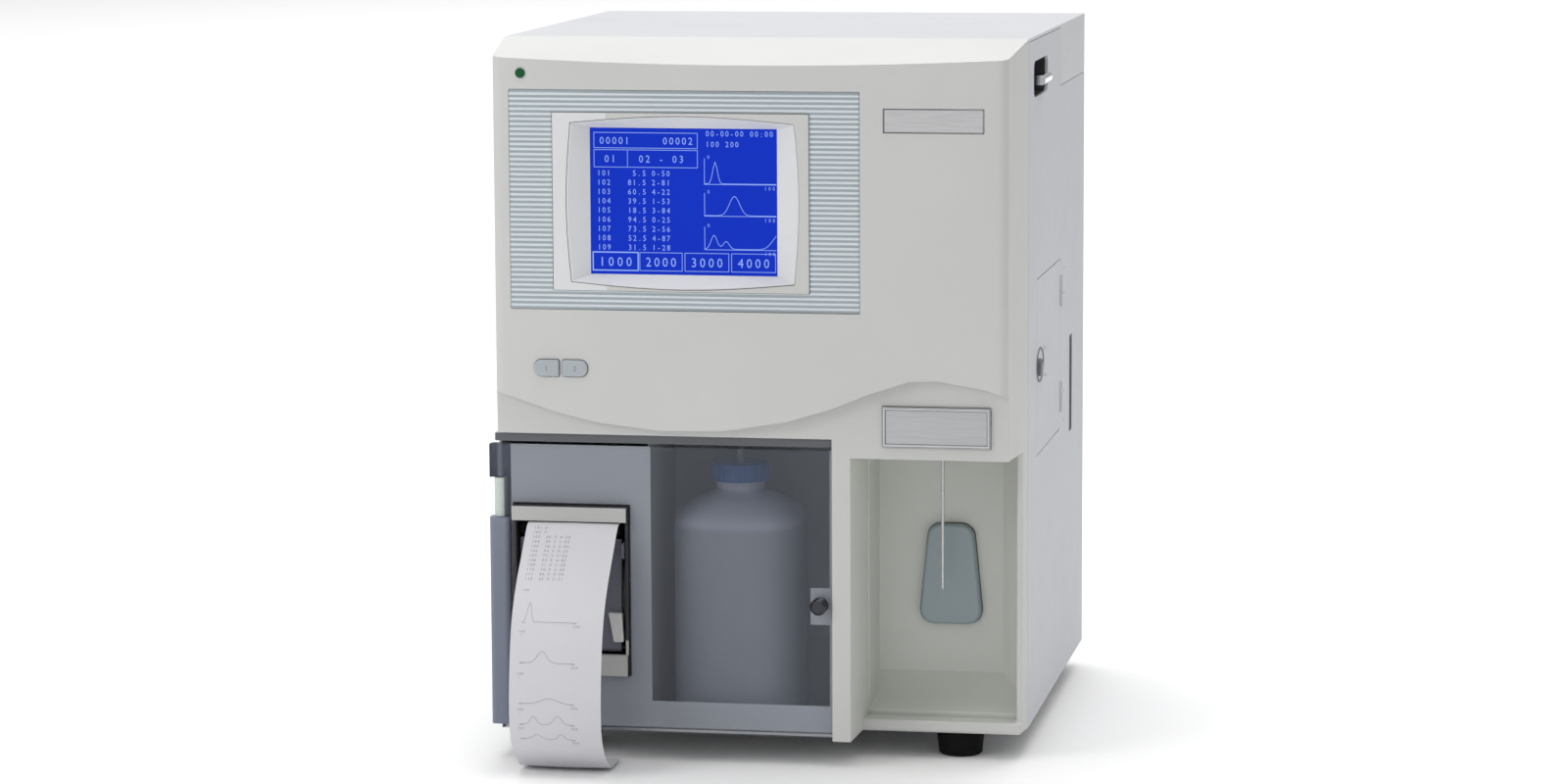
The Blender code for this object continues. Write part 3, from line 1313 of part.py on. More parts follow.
def build_compartment():
    left, right = -HALF + TRAY_LEFT_CLEAR, PILLAR_LEFT - GAP
    low, high = UNDERSIDE + PANEL + GAP, FASCIA_BOTTOM - GAP
    back = PARTITION_Y - GAP
    tray = box((left, right), (TRAY_FRONT, back), (low, high))
    hollow = box(
        (left + TRAY_WALL, right - TRAY_WALL), (TRAY_FRONT - OVERRUN, back - TRAY_WALL),
        (low + TRAY_WALL, high - TRAY_WALL),
    )
    divider = box(
        (DIVIDER_X - DIVIDER_THICK, DIVIDER_X), (TRAY_FRONT + DIVIDER_SET, back - TRAY_WALL / 2),
        (low + TRAY_WALL / 2, high - TRAY_WALL / 2),
    )
    lintel = box((left, right), (DOOR_FACE, TRAY_FRONT + GAP), (FASCIA_BOTTOM - LINTEL_HEIGHT, high))
    tray = join(cut(tray, hollow), divider, lintel)
    name_piece(tray, "compartment_liner", "bay")


def build_catch():
    """An angle on the compartment's right wall, which the knob's tongue swings behind."""
    right = PILLAR_LEFT - GAP - TRAY_WALL - GAP
    left = LATCH_X + LATCH_SHAFT + CATCH_LEFT
    front = DOOR_FACE + DOOR_THICK + MASK_THICK + GAP
    height = (LATCH_Z - CATCH_HEIGHT / 2, LATCH_Z + CATCH_HEIGHT / 2)
    flange = box((left, right), (front, front + CATCH_WALL), height)
    leg = box((right - CATCH_LEG, right), (front, front + CATCH_DEPTH), height)
    name_piece(join(flange, leg), "door_catch", "metal")


def build_hinge():
    """The fixed knuckle, its arm to the tray's left wall, and the pin that the door turns on."""
    low, high = FIXED_KNUCKLE_LOW + GAP, FIXED_KNUCKLE_HIGH - GAP
    inner_wall = -HALF + TRAY_LEFT_CLEAR + TRAY_WALL + GAP
    knuckle = cylinder("Z", HINGE_X, HINGE_Y, FIXED_KNUCKLE, low, high)
    arm = box(
        (inner_wall, inner_wall + HINGE_ARM), (HINGE_Y, HINGE_Y + HINGE_ARM_DEPTH), (low, high)
    )
    pin = cylinder(
        "Z", HINGE_X, HINGE_Y, HINGE_PIN, DOOR_LOW + DOOR_THICK, DOOR_TOP, SMALL_ROUND
    )
    name_piece(join(knuckle, arm, pin), "door_hinge", "case")


def knuckle_outline():
    """The door's own hinge barrel in plan: a rounded bar round the pin."""
    half, depth = KNUCKLE_RADIUS, KNUCKLE_RADIUS - KNUCKLE_CLEAR
    return rounded(
        HINGE_X - half, HINGE_X + half, HINGE_Y - depth, HINGE_Y + depth, KNUCKLE_RADIUS / 2
    )


def build_door():
    top = DOOR_TOP
    face, back = DOOR_FACE, DOOR_FACE + DOOR_THICK
    panel = box((HINGE_X, DOOR_RIGHT), (face, back), (DOOR_LOW, top))
    low_bar = prism(knuckle_outline(), "Z", DOOR_LOW + DOOR_THICK, FIXED_KNUCKLE_LOW)
    flush = prism(knuckle_outline(), "Z", FIXED_KNUCKLE_HIGH, top)
    ahead = box((-HALF - OVERRUN, 0), (-OVERRUN, face), (0, CASE_TOP))
    high_bar = cut(flush, ahead)
    door = join(panel, low_bar, high_bar)
    clear = GAP * 2
    notch = cylinder(
        "Z", HINGE_X, HINGE_Y, FIXED_KNUCKLE + clear, FIXED_KNUCKLE_LOW, FIXED_KNUCKLE_HIGH
    )
    notch_side = box(
        (HINGE_X - OVERRUN, HINGE_X + FIXED_KNUCKLE / 2), (face - OVERRUN, back + OVERRUN),
        (FIXED_KNUCKLE_LOW, FIXED_KNUCKLE_HIGH),
    )
    bore = cylinder("Z", HINGE_X, HINGE_Y, HINGE_PIN + GAP, 0, FASCIA_BOTTOM, SMALL_ROUND)
    knob_hole = cylinder(
        "Y", LATCH_X, LATCH_Z, LATCH_SHAFT + SLIDE_GAP, face - OVERRUN, back + OVERRUN, SMALL_ROUND
    )
    door = cut(door, notch, notch_side, bore, printer_cut(face - OVERRUN, back + OVERRUN), knob_hole)
    name_piece(door, "smoked_door", "smoke", origin=(HINGE_X, HINGE_Y, DOOR_LOW))
    build_mask(back + GAP, back + MASK_THICK)
    build_knob(face, back)


def build_mask(front, back):
    """The opaque frame behind the smoked sheet, with the latch's pad on its right strip."""
    left, right = HINGE_X + KNUCKLE_RADIUS + GAP, DOOR_RIGHT
    low, high = DOOR_LOW + DOOR_THICK, DOOR_TOP
    mask = box((left, right), (front, back), (low, high))
    window = box(
        (MASK_RIGHT, right - MASK_STRIP), (front - OVERRUN, back + OVERRUN), (MASK_BAND_TOP, high + OVERRUN)
    )
    pad = box(
        (LATCH_X - LATCH_PAD_LEFT, right), (front, back),
        (LATCH_Z - LATCH_PAD_DROP, LATCH_Z + LATCH_PAD_RISE),
    )
    knob_hole = cylinder(
        "Y", LATCH_X, LATCH_Z, LATCH_SHAFT + SLIDE_GAP, front - OVERRUN, back + OVERRUN, SMALL_ROUND
    )
    mask = cut(join(cut(mask, window), pad), printer_cut(front - OVERRUN, back + OVERRUN), knob_hole)
    name_piece(mask, "door_mask", "mask", origin=(HINGE_X, HINGE_Y, DOOR_LOW))


def printer_cut(front, back):
    clear = DOOR_CUT_CLEAR
    return box(
        (PRINTER_LEFT - clear, PRINTER_RIGHT + clear), (front, back),
        (PRINTER_LOW - clear, PRINTER_HIGH + clear),
    )


def build_knob(face, back):
    tongue_front = back + MASK_THICK + GAP + CATCH_WALL + TONGUE_PLAY
    knob = turned(
        "Y", LATCH_X, LATCH_Z,
        [
            (LATCH_SHAFT, tongue_front + TONGUE_THICK), (LATCH_SHAFT, face - GAP), (KNOB_RADIUS, face - GAP),
            (KNOB_RADIUS, face - KNOB_OUT / 6), (KNOB_WAIST, face - KNOB_OUT / 3),
            (KNOB_WAIST, face - KNOB_OUT / 2),
            (KNOB_RADIUS, face - KNOB_OUT * 2 / 3), (KNOB_RADIUS, face - KNOB_OUT * 5 / 6),
            (KNOB_RADIUS * 3 / 4, face - KNOB_OUT),
        ],
        ROUND,
    )
    tongue = box(
        (LATCH_X - TONGUE_HALF, LATCH_X + TONGUE_HALF), (tongue_front, tongue_front + TONGUE_THICK),
        (LATCH_Z - LATCH_TONGUE, LATCH_Z),
    )
    name_piece(join(knob, tongue), "door_knob", "steel", origin=(LATCH_X, face, LATCH_Z))


def bottle_ring(width, depth, height, squareness):
    """A ring between an ellipse and a rounded rectangle, from its half width and half depth."""
    points = []
    for i in range(BOTTLE_SIDES):
        angle = math.tau * i / BOTTLE_SIDES
        c, s = math.cos(angle), math.sin(angle)
        size = 1 / (abs(c) ** squareness + abs(s) ** squareness) ** (1 / squareness)
        points.append(Vector((BOTTLE_X + width * size * c, BOTTLE_Y + depth * size * s, height)))
    return points


def bottle_floor():
    return UNDERSIDE + PANEL + GAP + TRAY_WALL + GAP


def build_bottle():
    floor = bottle_floor()
    wide, deep = BOTTLE_WIDTH / 2, BOTTLE_DEPTH / 2
    rise = BOTTLE_HEIGHT - BOTTLE_SHOULDER
    square = BOTTLE_SQUARENESS
    outer = [
        (wide - BOTTLE_FOOT, deep - BOTTLE_FOOT, 0, square), (wide, deep, BOTTLE_FOOT, square),
        (wide, deep, BOTTLE_SHOULDER, square),
    ]
    outer += [(wide * a, deep * a, BOTTLE_SHOULDER + rise * b, form) for a, b, form in BOTTLE_SHOULDER_SHARES]
    outer += [
        (BOTTLE_NECK, BOTTLE_NECK, level, TRUE_ROUND)
        for level in (BOTTLE_SHOULDER + rise * BOTTLE_NECK_SHARE, BOTTLE_HEIGHT)
    ]
    rings = [bottle_ring(a, b, floor + level, form) for a, b, level, form in outer]
    mouth = BOTTLE_NECK - BOTTLE_WALL
    rings.append(bottle_ring(mouth, mouth, floor + BOTTLE_HEIGHT, TRUE_ROUND))
    rings += [
        bottle_ring(a - BOTTLE_WALL, b - BOTTLE_WALL, floor + level - BOTTLE_WALL / 2, form)
        for a, b, level, form in reversed(outer[1:-1])
    ]
    inset = BOTTLE_FOOT + BOTTLE_WALL
    rings.append(bottle_ring(wide - inset, deep - inset, floor + BOTTLE_WALL, square))
    name_piece(loft(rings), "reagent_bottle", "bottle", smooth=True)
    neck_top = floor + BOTTLE_HEIGHT
    under = neck_top + GAP
    skirt = under + CAP_TOP - CAP_HEIGHT
    cap = turned_ring(
        "Z", BOTTLE_X, BOTTLE_Y,
        [
            (CAP_BORE, under + CAP_TOP), (CAP_BORE, under), (BOTTLE_NECK + GAP, under),
            (BOTTLE_NECK + GAP, skirt), (CAP_RADIUS, skirt), (CAP_RADIUS, under + CAP_TOP * 2 / 3),
            (CAP_RADIUS - CAP_TOP / 3, under + CAP_TOP),
        ],
        ROUND,
    )
    name_piece(cap, "bottle_cap", "cap", origin=(BOTTLE_X, BOTTLE_Y, skirt), smooth=True)
    build_bottle_tube(floor, under + CAP_TOP)


def smooth_route(points, steps):
    """A Catmull-Rom curve through a route's own points."""
    route = [Vector(p) for p in points]
    padded = [route[0] * 2 - route[1]] + route + [route[-1] * 2 - route[-2]]
    made = []
    for p0, p1, p2, p3 in zip(padded, padded[1:], padded[2:], padded[3:]):
        for i in range(steps):
            t = i / steps
            made.append(
                0.5 * (2 * p1 + (p2 - p0) * t + (2 * p0 - 5 * p1 + 4 * p2 - p3) * t * t
                       + (3 * p1 - p0 - 3 * p2 + p3) * t * t * t)
            )
    made.append(route[-1])
    return made


def build_bottle_tube(floor, cap_top):
    """The suction tube, from near the bottle's floor through the cap to the compartment's back wall."""
    wall = PARTITION_Y - GAP - TRAY_WALL - GAP
    start = Vector((BOTTLE_X, BOTTLE_Y, cap_top))
    reach = wall - BOTTLE_Y
    points = [(BOTTLE_X, BOTTLE_Y, floor + TUBE_DIP), (BOTTLE_X, BOTTLE_Y, (floor + cap_top) / 2)]
    points += [(start.x, start.y + reach * a, start.z + TUBE_RISE * b) for a, b in TUBE_SPREAD_SHARES]
    curve = bpy.data.curves.new("tube", "CURVE")
    curve.dimensions = "3D"
    curve.bevel_depth = TUBE_RADIUS
    curve.bevel_resolution = 2
    curve.use_fill_caps = True
    spline = curve.splines.new("POLY")
    route = smooth_route(points, TUBE_STEPS)
    spline.points.add(len(route) - 1)
    for point, place_at in zip(spline.points, route):
        point.co = (*place_at, 1.0)
    tube = bpy.data.objects.new("tube", curve)
    bpy.context.collection.objects.link(tube)
    bpy.context.view_layer.update()
    mesh = bpy.data.meshes.new_from_object(tube.evaluated_get(bpy.context.evaluated_depsgraph_get()))
    bpy.data.objects.remove(tube, do_unlink=True)
    bm = bmesh.new()
    bm.from_mesh(mesh)
    name_piece(as_object(bm), "bottle_tube", "clear", smooth=True)


# Printer


def build_printer():
    left, right = PRINTER_LEFT, PRINTER_RIGHT
    wall = PRINTER_WALL
    frame = box((left, right), (PRINTER_SIDE_FRONT, PRINTER_BACK), (PRINTER_LOW, PRINTER_HIGH))
    hollow = box(
        (left + wall, right - wall), (PRINTER_SIDE_FRONT - OVERRUN, PRINTER_BACK - wall),
        (PRINTER_LOW + wall, PRINTER_HIGH - wall),
    )
    bar = box(
        (left, right), (PRINTER_FRONT, PRINTER_SIDE_FRONT + wall), (PRINTER_HIGH - PRINTER_BAR, PRINTER_HIGH)
    )
    sill = box(
        (left, right), (PRINTER_FRONT + wall, PRINTER_SIDE_FRONT + wall),
        (PRINTER_LOW, PRINTER_LOW + PRINTER_SILL),
    )
    lid_z = PRINTER_LOW + PRINTER_SILL + LID_PIN_RISE
    lid_pin = cylinder("X", LID_PIN_Y, lid_z, LID_PIN, left + wall / 2, right - wall / 2, SMALL_ROUND)
    spindle = cylinder("X", ROLL_Y, ROLL_Z, SPINDLE, left + wall / 2, right - wall / 2, SMALL_ROUND)
    frame = join(cut(frame, hollow), bar, sill, lid_pin, spindle)
    platen_hole = cylinder(
        "X", PLATEN_Y, PLATEN_Z, PLATEN_SHAFT + SLIDE_GAP, left - OVERRUN, right + OVERRUN, SMALL_ROUND
    )
    lever_pin = cylinder(
        "X", LEVER_Y, LEVER_Z, LEVER_PIN, right - wall - LEVER_WIDTH * 2, right - wall / 2, SMALL_ROUND
    )
    frame = cut(join(frame, lever_pin), platen_hole)
    name_piece(frame, "printer_frame", "bezel")
    build_lid(left + wall + LID_SIDE, right - wall - LEVER_WIDTH * 2 - GAP * 2, lid_z)
    build_rollers(left + wall, right - wall)
    paper_top = paper_level()
    inner = right - wall - GAP
    lever = prism(
        rounded(
            LEVER_FRONT, LEVER_Y + LEVER_PIN * 3, LEVER_Z - LEVER_HALF, LEVER_Z + LEVER_HALF, LEVER_HALF / 2
        ),
        "X", inner - LEVER_WIDTH, inner,
    )
    lever_bore = cylinder(
        "X", LEVER_Y, LEVER_Z, LEVER_PIN + GAP, inner - OVERRUN, inner + OVERRUN, SMALL_ROUND
    )
    name_piece(cut(lever, lever_bore), "release_lever", "key", origin=(inner, LEVER_Y, LEVER_Z))
    build_paper(paper_top)


def paper_level():
    """Height of the paper's underside where it leaves the platen."""
    return PLATEN_Z + PLATEN_RADIUS + GAP


def build_lid(left, right, hinge_z):
    front = LID_PIN_Y - LID_BARREL / 2 - LID_THICK / 2
    lid = prism(
        (
            (front, hinge_z), (front + LID_LEAN, LID_HIGH),
            (front + LID_LEAN + LID_THICK, LID_HIGH), (front + LID_THICK, hinge_z),
        ),
        "X", left, right,
    )
    barrel = cylinder("X", LID_PIN_Y, hinge_z, LID_BARREL, left, right, SMALL_ROUND)
    bore = cylinder("X", LID_PIN_Y, hinge_z, LID_PIN + GAP, left - OVERRUN, right + OVERRUN, SMALL_ROUND)
    name_piece(cut(join(lid, barrel), bore), "paper_lid", "mask", origin=(left, LID_PIN_Y, hinge_z))


def build_rollers(left, right):
    platen = cylinder(
        "X", PLATEN_Y, PLATEN_Z, PLATEN_RADIUS, left + LID_SIDE, right - LEVER_WIDTH * 2 - LID_SIDE
    )
    shaft = cylinder(
        "X", PLATEN_Y, PLATEN_Z, PLATEN_SHAFT, left - PRINTER_WALL / 2, right + PRINTER_WALL / 2, SMALL_ROUND
    )
    name_piece(join(platen, shaft), "platen_roller", "rubber", origin=(left, PLATEN_Y, PLATEN_Z))
    half = PAPER_WIDTH / 2
    roll = turned_ring(
        "X", ROLL_Y, ROLL_Z,
        [(ROLL_CORE, PAPER_X - half), (ROLL_RADIUS, PAPER_X - half), (ROLL_RADIUS, PAPER_X + half),
         (ROLL_CORE, PAPER_X + half)],
        ROUND,
    )
    name_piece(roll, "paper_roll", "paper", origin=(PAPER_X, ROLL_Y, ROLL_Z))


def paper_route(level):
    """The strip in side view: out under the bar, down in a bow, and back along the bench."""
    points = [(PAPER_START, level)]
    points += [(y, level + drop) for y, drop in PAPER_HANG]
    points += [(PAPER_TAIL_TURN, PAPER_FLOOR), (PAPER_TAIL_END, PAPER_FLOOR)]
    smooth = smooth_route([(0, y, max(z, PAPER_FLOOR)) for y, z in points], PAPER_STEPS)
    return [Vector((0, p.y, max(p.z, PAPER_FLOOR))) for p in smooth]


def build_paper(level):
    route = paper_route(level)
    half = PAPER_WIDTH / 2
    rings = []
    for i, p in enumerate(route):
        ahead = route[min(i + 1, len(route) - 1)] - route[max(i - 1, 0)]
        across = Vector((0, -ahead.z, ahead.y)).normalized() * PAPER_THICK / 2
        rings.append(
            [Vector((PAPER_X + side * half, p.y + sign * across.y, p.z + sign * across.z))
             for side, sign in ((-1, -1), (1, -1), (1, 1), (-1, 1))]
        )
    name_piece(loft(rings), "paper_strip", "paper")


# Rear panel, its fan and power inlet, and the inside


def build_rear():
    front, back = CASE_DEPTH - PANEL, CASE_DEPTH
    panel = box((-HALF + PANEL + GAP, HALF - PANEL - GAP), (front, back), (UNDERSIDE, CASE_TOP - PANEL - GAP))
    lower = box((-HALF, HALF), (front, back), (UNDERSIDE, SKIRT_LOW - GAP))
    panel = join(panel, lower)
    span = FAN_BORE * 2
    step = span / GRILLE_BARS
    slots = []
    for i in range(GRILLE_BARS):
        offset = -FAN_BORE + step * (i + 1 / 2)
        reach = math.sqrt(max(FAN_BORE ** 2 - offset ** 2, 0)) - step / 4
        slots.append(
            plate(
                FAN_X - reach, FAN_X + reach, FAN_Z + offset - GRILLE_SLOT / 2,
                FAN_Z + offset + GRILLE_SLOT / 2, GRILLE_SLOT / 3, front - OVERRUN, back + OVERRUN,
            )
        )
    inlet_hole = box(
        (INLET_X - INLET_WIDTH / 2 - GAP, INLET_X + INLET_WIDTH / 2 + GAP), (front - OVERRUN, back + OVERRUN),
        (INLET_Z - INLET_HEIGHT / 2 - GAP, INLET_Z + INLET_HEIGHT / 2 + GAP),
    )
    panel = cut(panel, *slots, inlet_hole)
    for i in range(PORTS):
        x = PORT_X + PORT_PITCH * (i - (PORTS - 1) / 2)
        port = cylinder("Y", x, PORT_Z, PORT_RADIUS, front, back + PORT_LENGTH, SMALL_ROUND)
        bore = cylinder("Y", x, PORT_Z, PORT_BORE, front - OVERRUN, back + PORT_LENGTH + OVERRUN, SMALL_ROUND)
        panel = cut(join(panel, port), bore)
    name_piece(panel, "rear_panel", "side")
    build_fan(front - GAP)
    build_inlet(front, back)


def build_fan(back):
    half = FAN_SIZE / 2
    front = back - FAN_THICK
    housing = plate(FAN_X - half, FAN_X + half, FAN_Z - half, FAN_Z + half, half / 8, front, back)
    bore = cylinder("Y", FAN_X, FAN_Z, FAN_BORE, front - OVERRUN, back + OVERRUN, ROUND)
    housing = cut(housing, bore)
    arms = box(
        (FAN_X - FAN_BORE - FAN_SPIDER / 2, FAN_X + FAN_BORE + FAN_SPIDER / 2),
        (front, front + FAN_SPIDER / 2), (FAN_Z - FAN_SPIDER / 2, FAN_Z + FAN_SPIDER / 2),
    )
    arms_up = box(
        (FAN_X - FAN_SPIDER / 2, FAN_X + FAN_SPIDER / 2), (front, front + FAN_SPIDER / 2),
        (FAN_Z - FAN_BORE - FAN_SPIDER / 2, FAN_Z + FAN_BORE + FAN_SPIDER / 2),
    )
    pin = cylinder("Y", FAN_X, FAN_Z, FAN_PIN, front, back - FAN_SPIDER / 2, SMALL_ROUND)
    name_piece(join(housing, arms, arms_up, pin), "fan_housing", "dark")
    low = front + FAN_SPIDER / 2 + GAP
    high = back - FAN_SPIDER / 2
    rotor = turned_ring(
        "Y", FAN_X, FAN_Z,
        [(FAN_PIN + SLIDE_GAP, low), (FAN_HUB, low), (FAN_HUB, high), (FAN_PIN + SLIDE_GAP, high)],
        ROUND,
    )
    blades = []
    tip = FAN_BORE - FAN_PIN / 2
    for i in range(FAN_BLADES):
        blade = box(
            (FAN_HUB - FAN_PIN / 2, tip), (-(high - low) / 3, (high - low) / 3),
            (-FAN_BLADE_THICK / 2, FAN_BLADE_THICK / 2),
        )
        pitch = Matrix.Rotation(math.radians(FAN_BLADE_PITCH), 4, "X")
        turn = Matrix.Rotation(math.tau * i / FAN_BLADES, 4, "Y")
        blade.data.transform(Matrix.Translation((FAN_X, (low + high) / 2, FAN_Z)) @ turn @ pitch)
        blades.append(blade)
    name_piece(join(rotor, *blades), "fan_rotor", "dark", origin=(FAN_X, low, FAN_Z))


def build_inlet(front, back):
    half, rise = INLET_WIDTH / 2, INLET_HEIGHT / 2
    body = box((INLET_X - half, INLET_X + half), (back - INLET_DEPTH, back), (INLET_Z - rise, INLET_Z + rise))
    rim = box(
        (INLET_X - half - INLET_RIM, INLET_X + half + INLET_RIM), (back + GAP, back + INLET_RIM),
        (INLET_Z - rise - INLET_RIM, INLET_Z + rise + INLET_RIM),
    )
    neck = box(
        (INLET_X - half, INLET_X + half), (back - GAP, back + INLET_RIM / 2), (INLET_Z - rise, INLET_Z + rise)
    )
    socket_z = INLET_Z - rise / 2
    socket = plate(
        INLET_X - SOCKET_WIDTH / 2, INLET_X + SOCKET_WIDTH / 2, socket_z - SOCKET_HEIGHT / 2,
        socket_z + SOCKET_HEIGHT / 2, SOCKET_HEIGHT / 6, back + INLET_RIM - SOCKET_DEPTH, back + OVERRUN,
    )
    rocker_z = INLET_Z + rise / 2
    rocker_room = box(
        (INLET_X - ROCKER_WIDTH / 2 - SLIDE_GAP, INLET_X + ROCKER_WIDTH / 2 + SLIDE_GAP),
        (back + INLET_RIM - ROCKER_BODY - ROCKER_OUT, back + OVERRUN),
        (rocker_z - ROCKER_HEIGHT / 2 - ROCKER_OUT, rocker_z + ROCKER_HEIGHT / 2 + ROCKER_OUT / 2),
    )
    inlet = cut(join(body, neck, rim), socket, rocker_room)
    axis_y = back + INLET_RIM - ROCKER_BODY / 2
    pin = cylinder(
        "X", axis_y, rocker_z, ROCKER_PIN, INLET_X - ROCKER_WIDTH / 2 - INLET_RIM / 2,
        INLET_X + ROCKER_WIDTH / 2 + INLET_RIM / 2, SMALL_ROUND,
    )
    name_piece(join(inlet, pin), "power_inlet", "dark")
    face = back + INLET_RIM
    low, high = rocker_z - ROCKER_HEIGHT / 2, rocker_z + ROCKER_HEIGHT / 2
    rocker = prism(
        ((axis_y - ROCKER_BODY / 3, rocker_z - ROCKER_HEIGHT / 4), (face - ROCKER_OUT / 3, low),
         (face + ROCKER_OUT / 4, rocker_z), (face + ROCKER_OUT, high),
         (axis_y - ROCKER_BODY / 3, rocker_z + ROCKER_HEIGHT / 4)),
        "X", INLET_X - ROCKER_WIDTH / 2, INLET_X + ROCKER_WIDTH / 2,
    )
    bore = cylinder(
        "X", axis_y, rocker_z, ROCKER_PIN + GAP, INLET_X - OVERRUN, INLET_X + OVERRUN, SMALL_ROUND
    )
    name_piece(cut(rocker, bore), "power_rocker", "dark", origin=(INLET_X, axis_y, rocker_z))


def build_inside():
    wall = PARTITION_Y + PARTITION_THICK + GAP
    board_front = wall + STANDOFF
    board = box((BOARD_LEFT, BOARD_RIGHT), (board_front, board_front + BOARD_THICK), (BOARD_LOW, BOARD_HIGH))
    posts = [
        cylinder("Y", x, z, STANDOFF_RADIUS, wall, board_front + BOARD_THICK / 2, SMALL_ROUND)
        for x in (BOARD_LEFT + STANDOFF_INSET, BOARD_RIGHT - STANDOFF_INSET)
        for z in (BOARD_LOW + STANDOFF_INSET, BOARD_HIGH - STANDOFF_INSET)
    ]
    width, height = BOARD_RIGHT - BOARD_LEFT, BOARD_HIGH - BOARD_LOW
    chips = [
        box(
            (BOARD_LEFT + width * a, BOARD_LEFT + width * (a + c)),
            (board_front + BOARD_THICK / 2, board_front + BOARD_THICK + CHIP_THICK),
            (BOARD_LOW + height * b, BOARD_LOW + height * (b + d)),
        )
        for a, b, c, d in CHIP_SHARES
    ]
    name_piece(join(board, *posts, *chips), "main_board", "board")
    floor = UNDERSIDE + PANEL + GAP
    supply = box(
        (SUPPLY_LEFT, SUPPLY_LEFT + SUPPLY_WIDTH), (SUPPLY_FRONT, SUPPLY_FRONT + SUPPLY_LENGTH),
        (floor, floor + SUPPLY_HEIGHT),
    )
    name_piece(supply, "power_supply", "metal")
    build_chamber(wall)
    build_syringe(wall)


def build_chamber(wall):
    """Two open measuring baths on one bracket, reached through the side hatch."""
    low, high = CHAMBER_LOW, CHAMBER_LOW + CHAMBER_HEIGHT
    second = CHAMBER_Y + CHAMBER_SPREAD
    reach = second + CHAMBER_RADIUS
    block = box(
        (CHAMBER_X - CHAMBER_RADIUS, CHAMBER_X + CHAMBER_RADIUS), (wall, reach), (low - CHAMBER_PLATE, low)
    )
    baths = [
        cylinder("Z", CHAMBER_X, y, CHAMBER_RADIUS, low - CHAMBER_PLATE / 2, high)
        for y in (CHAMBER_Y, second)
    ]
    hollows = [
        cylinder("Z", CHAMBER_X, y, CHAMBER_RADIUS - CHAMBER_WALL, low + CHAMBER_WALL, high + OVERRUN)
        for y in (CHAMBER_Y, second)
    ]
    name_piece(cut(join(block, *baths), *hollows), "measuring_chamber", "clear")


def build_syringe(wall):
    """The diluent syringe, upright on the partition, with its plunger drawn from below."""
    low, high = SYRINGE_LOW, SYRINGE_LOW + SYRINGE_LENGTH
    barrel = turned_ring(
        "Z", SYRINGE_X, SYRINGE_Y,
        [(SYRINGE_RADIUS - SYRINGE_WALL, low), (SYRINGE_RADIUS, low), (SYRINGE_RADIUS, high),
         (SYRINGE_ROD / 2, high), (SYRINGE_ROD / 2, high - SYRINGE_WALL),
         (SYRINGE_RADIUS - SYRINGE_WALL, high - SYRINGE_WALL)],
        ROUND,
    )
    brackets = [
        box(
            (SYRINGE_X - SYRINGE_RADIUS, SYRINGE_X + SYRINGE_RADIUS),
            (wall, SYRINGE_Y - SYRINGE_RADIUS + SYRINGE_WALL), (z, z + SYRINGE_PLATE),
        )
        for z in (low + SYRINGE_PLATE, high - SYRINGE_PLATE * 2)
    ]
    name_piece(join(barrel, *brackets), "syringe_barrel", "clear")
    bore = SYRINGE_RADIUS - SYRINGE_WALL - SLIDE_GAP
    crown = high - SYRINGE_WALL - SYRINGE_TAIL / 10
    plunger = turned(
        "Z", SYRINGE_X, SYRINGE_Y,
        [
            (SYRINGE_ROD, low - SYRINGE_TAIL), (SYRINGE_ROD, crown - SYRINGE_PISTON),
            (bore, crown - SYRINGE_PISTON), (bore, crown),
        ],
        ROUND,
    )
    name_piece(plunger, "syringe_plunger", "metal", origin=(SYRINGE_X, SYRINGE_Y, crown))


def main():
    global machine
    clear_scene()
    machine = bpy.data.objects.new("machine", None)
    machine.location = (0, MACHINE_Y, 0)
    bpy.context.collection.objects.link(machine)
    build_front_cover()
    build_stripe_panel()
    build_screen()
    build_badges()
    build_keys()
    build_panels()
    build_hatch()
    build_side_lever()
    build_feet()
    build_bay()
    build_start_plate()
    build_probe()
    build_drive()
    build_compartment()
    build_catch()
    build_hinge()
    build_door()
    build_bottle()
    build_printer()
    build_rear()
    build_inside()


main()
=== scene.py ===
"""Looks of the bench-top hematology analyzer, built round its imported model.

Metres, in the model's own frame. Depths are counted from the front of the upper
fascia, as the case was drawn, and at() turns them into the model's frame.
"""

import json
import math

import bmesh
import bpy
from mathutils import Matrix, Vector


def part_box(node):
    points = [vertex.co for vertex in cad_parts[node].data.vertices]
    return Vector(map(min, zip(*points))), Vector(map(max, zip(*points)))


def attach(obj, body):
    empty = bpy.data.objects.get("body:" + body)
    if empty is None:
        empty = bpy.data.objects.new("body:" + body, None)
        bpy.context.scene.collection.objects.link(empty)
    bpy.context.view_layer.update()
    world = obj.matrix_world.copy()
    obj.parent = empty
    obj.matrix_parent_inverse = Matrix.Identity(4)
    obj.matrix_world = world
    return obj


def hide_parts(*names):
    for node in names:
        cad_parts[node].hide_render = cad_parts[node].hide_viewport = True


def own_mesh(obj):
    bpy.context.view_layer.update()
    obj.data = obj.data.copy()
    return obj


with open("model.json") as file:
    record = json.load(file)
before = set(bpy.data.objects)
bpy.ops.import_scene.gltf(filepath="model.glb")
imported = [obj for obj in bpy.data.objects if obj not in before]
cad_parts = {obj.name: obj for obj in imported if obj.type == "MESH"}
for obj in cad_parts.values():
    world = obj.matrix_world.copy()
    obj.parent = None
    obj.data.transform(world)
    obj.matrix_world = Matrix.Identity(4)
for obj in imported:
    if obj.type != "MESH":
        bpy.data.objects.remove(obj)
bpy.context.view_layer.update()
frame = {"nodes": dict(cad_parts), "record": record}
MM = 0.001
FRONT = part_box("front_cover")[0].y
BODY_OF = {node: body for body, nodes in frame["record"]["behaviour"]["bodies"].items() for node in nodes}


def at(x, depth, z):
    """A point given by its depth behind the fascia's front."""
    return Vector((x, depth + FRONT, z))


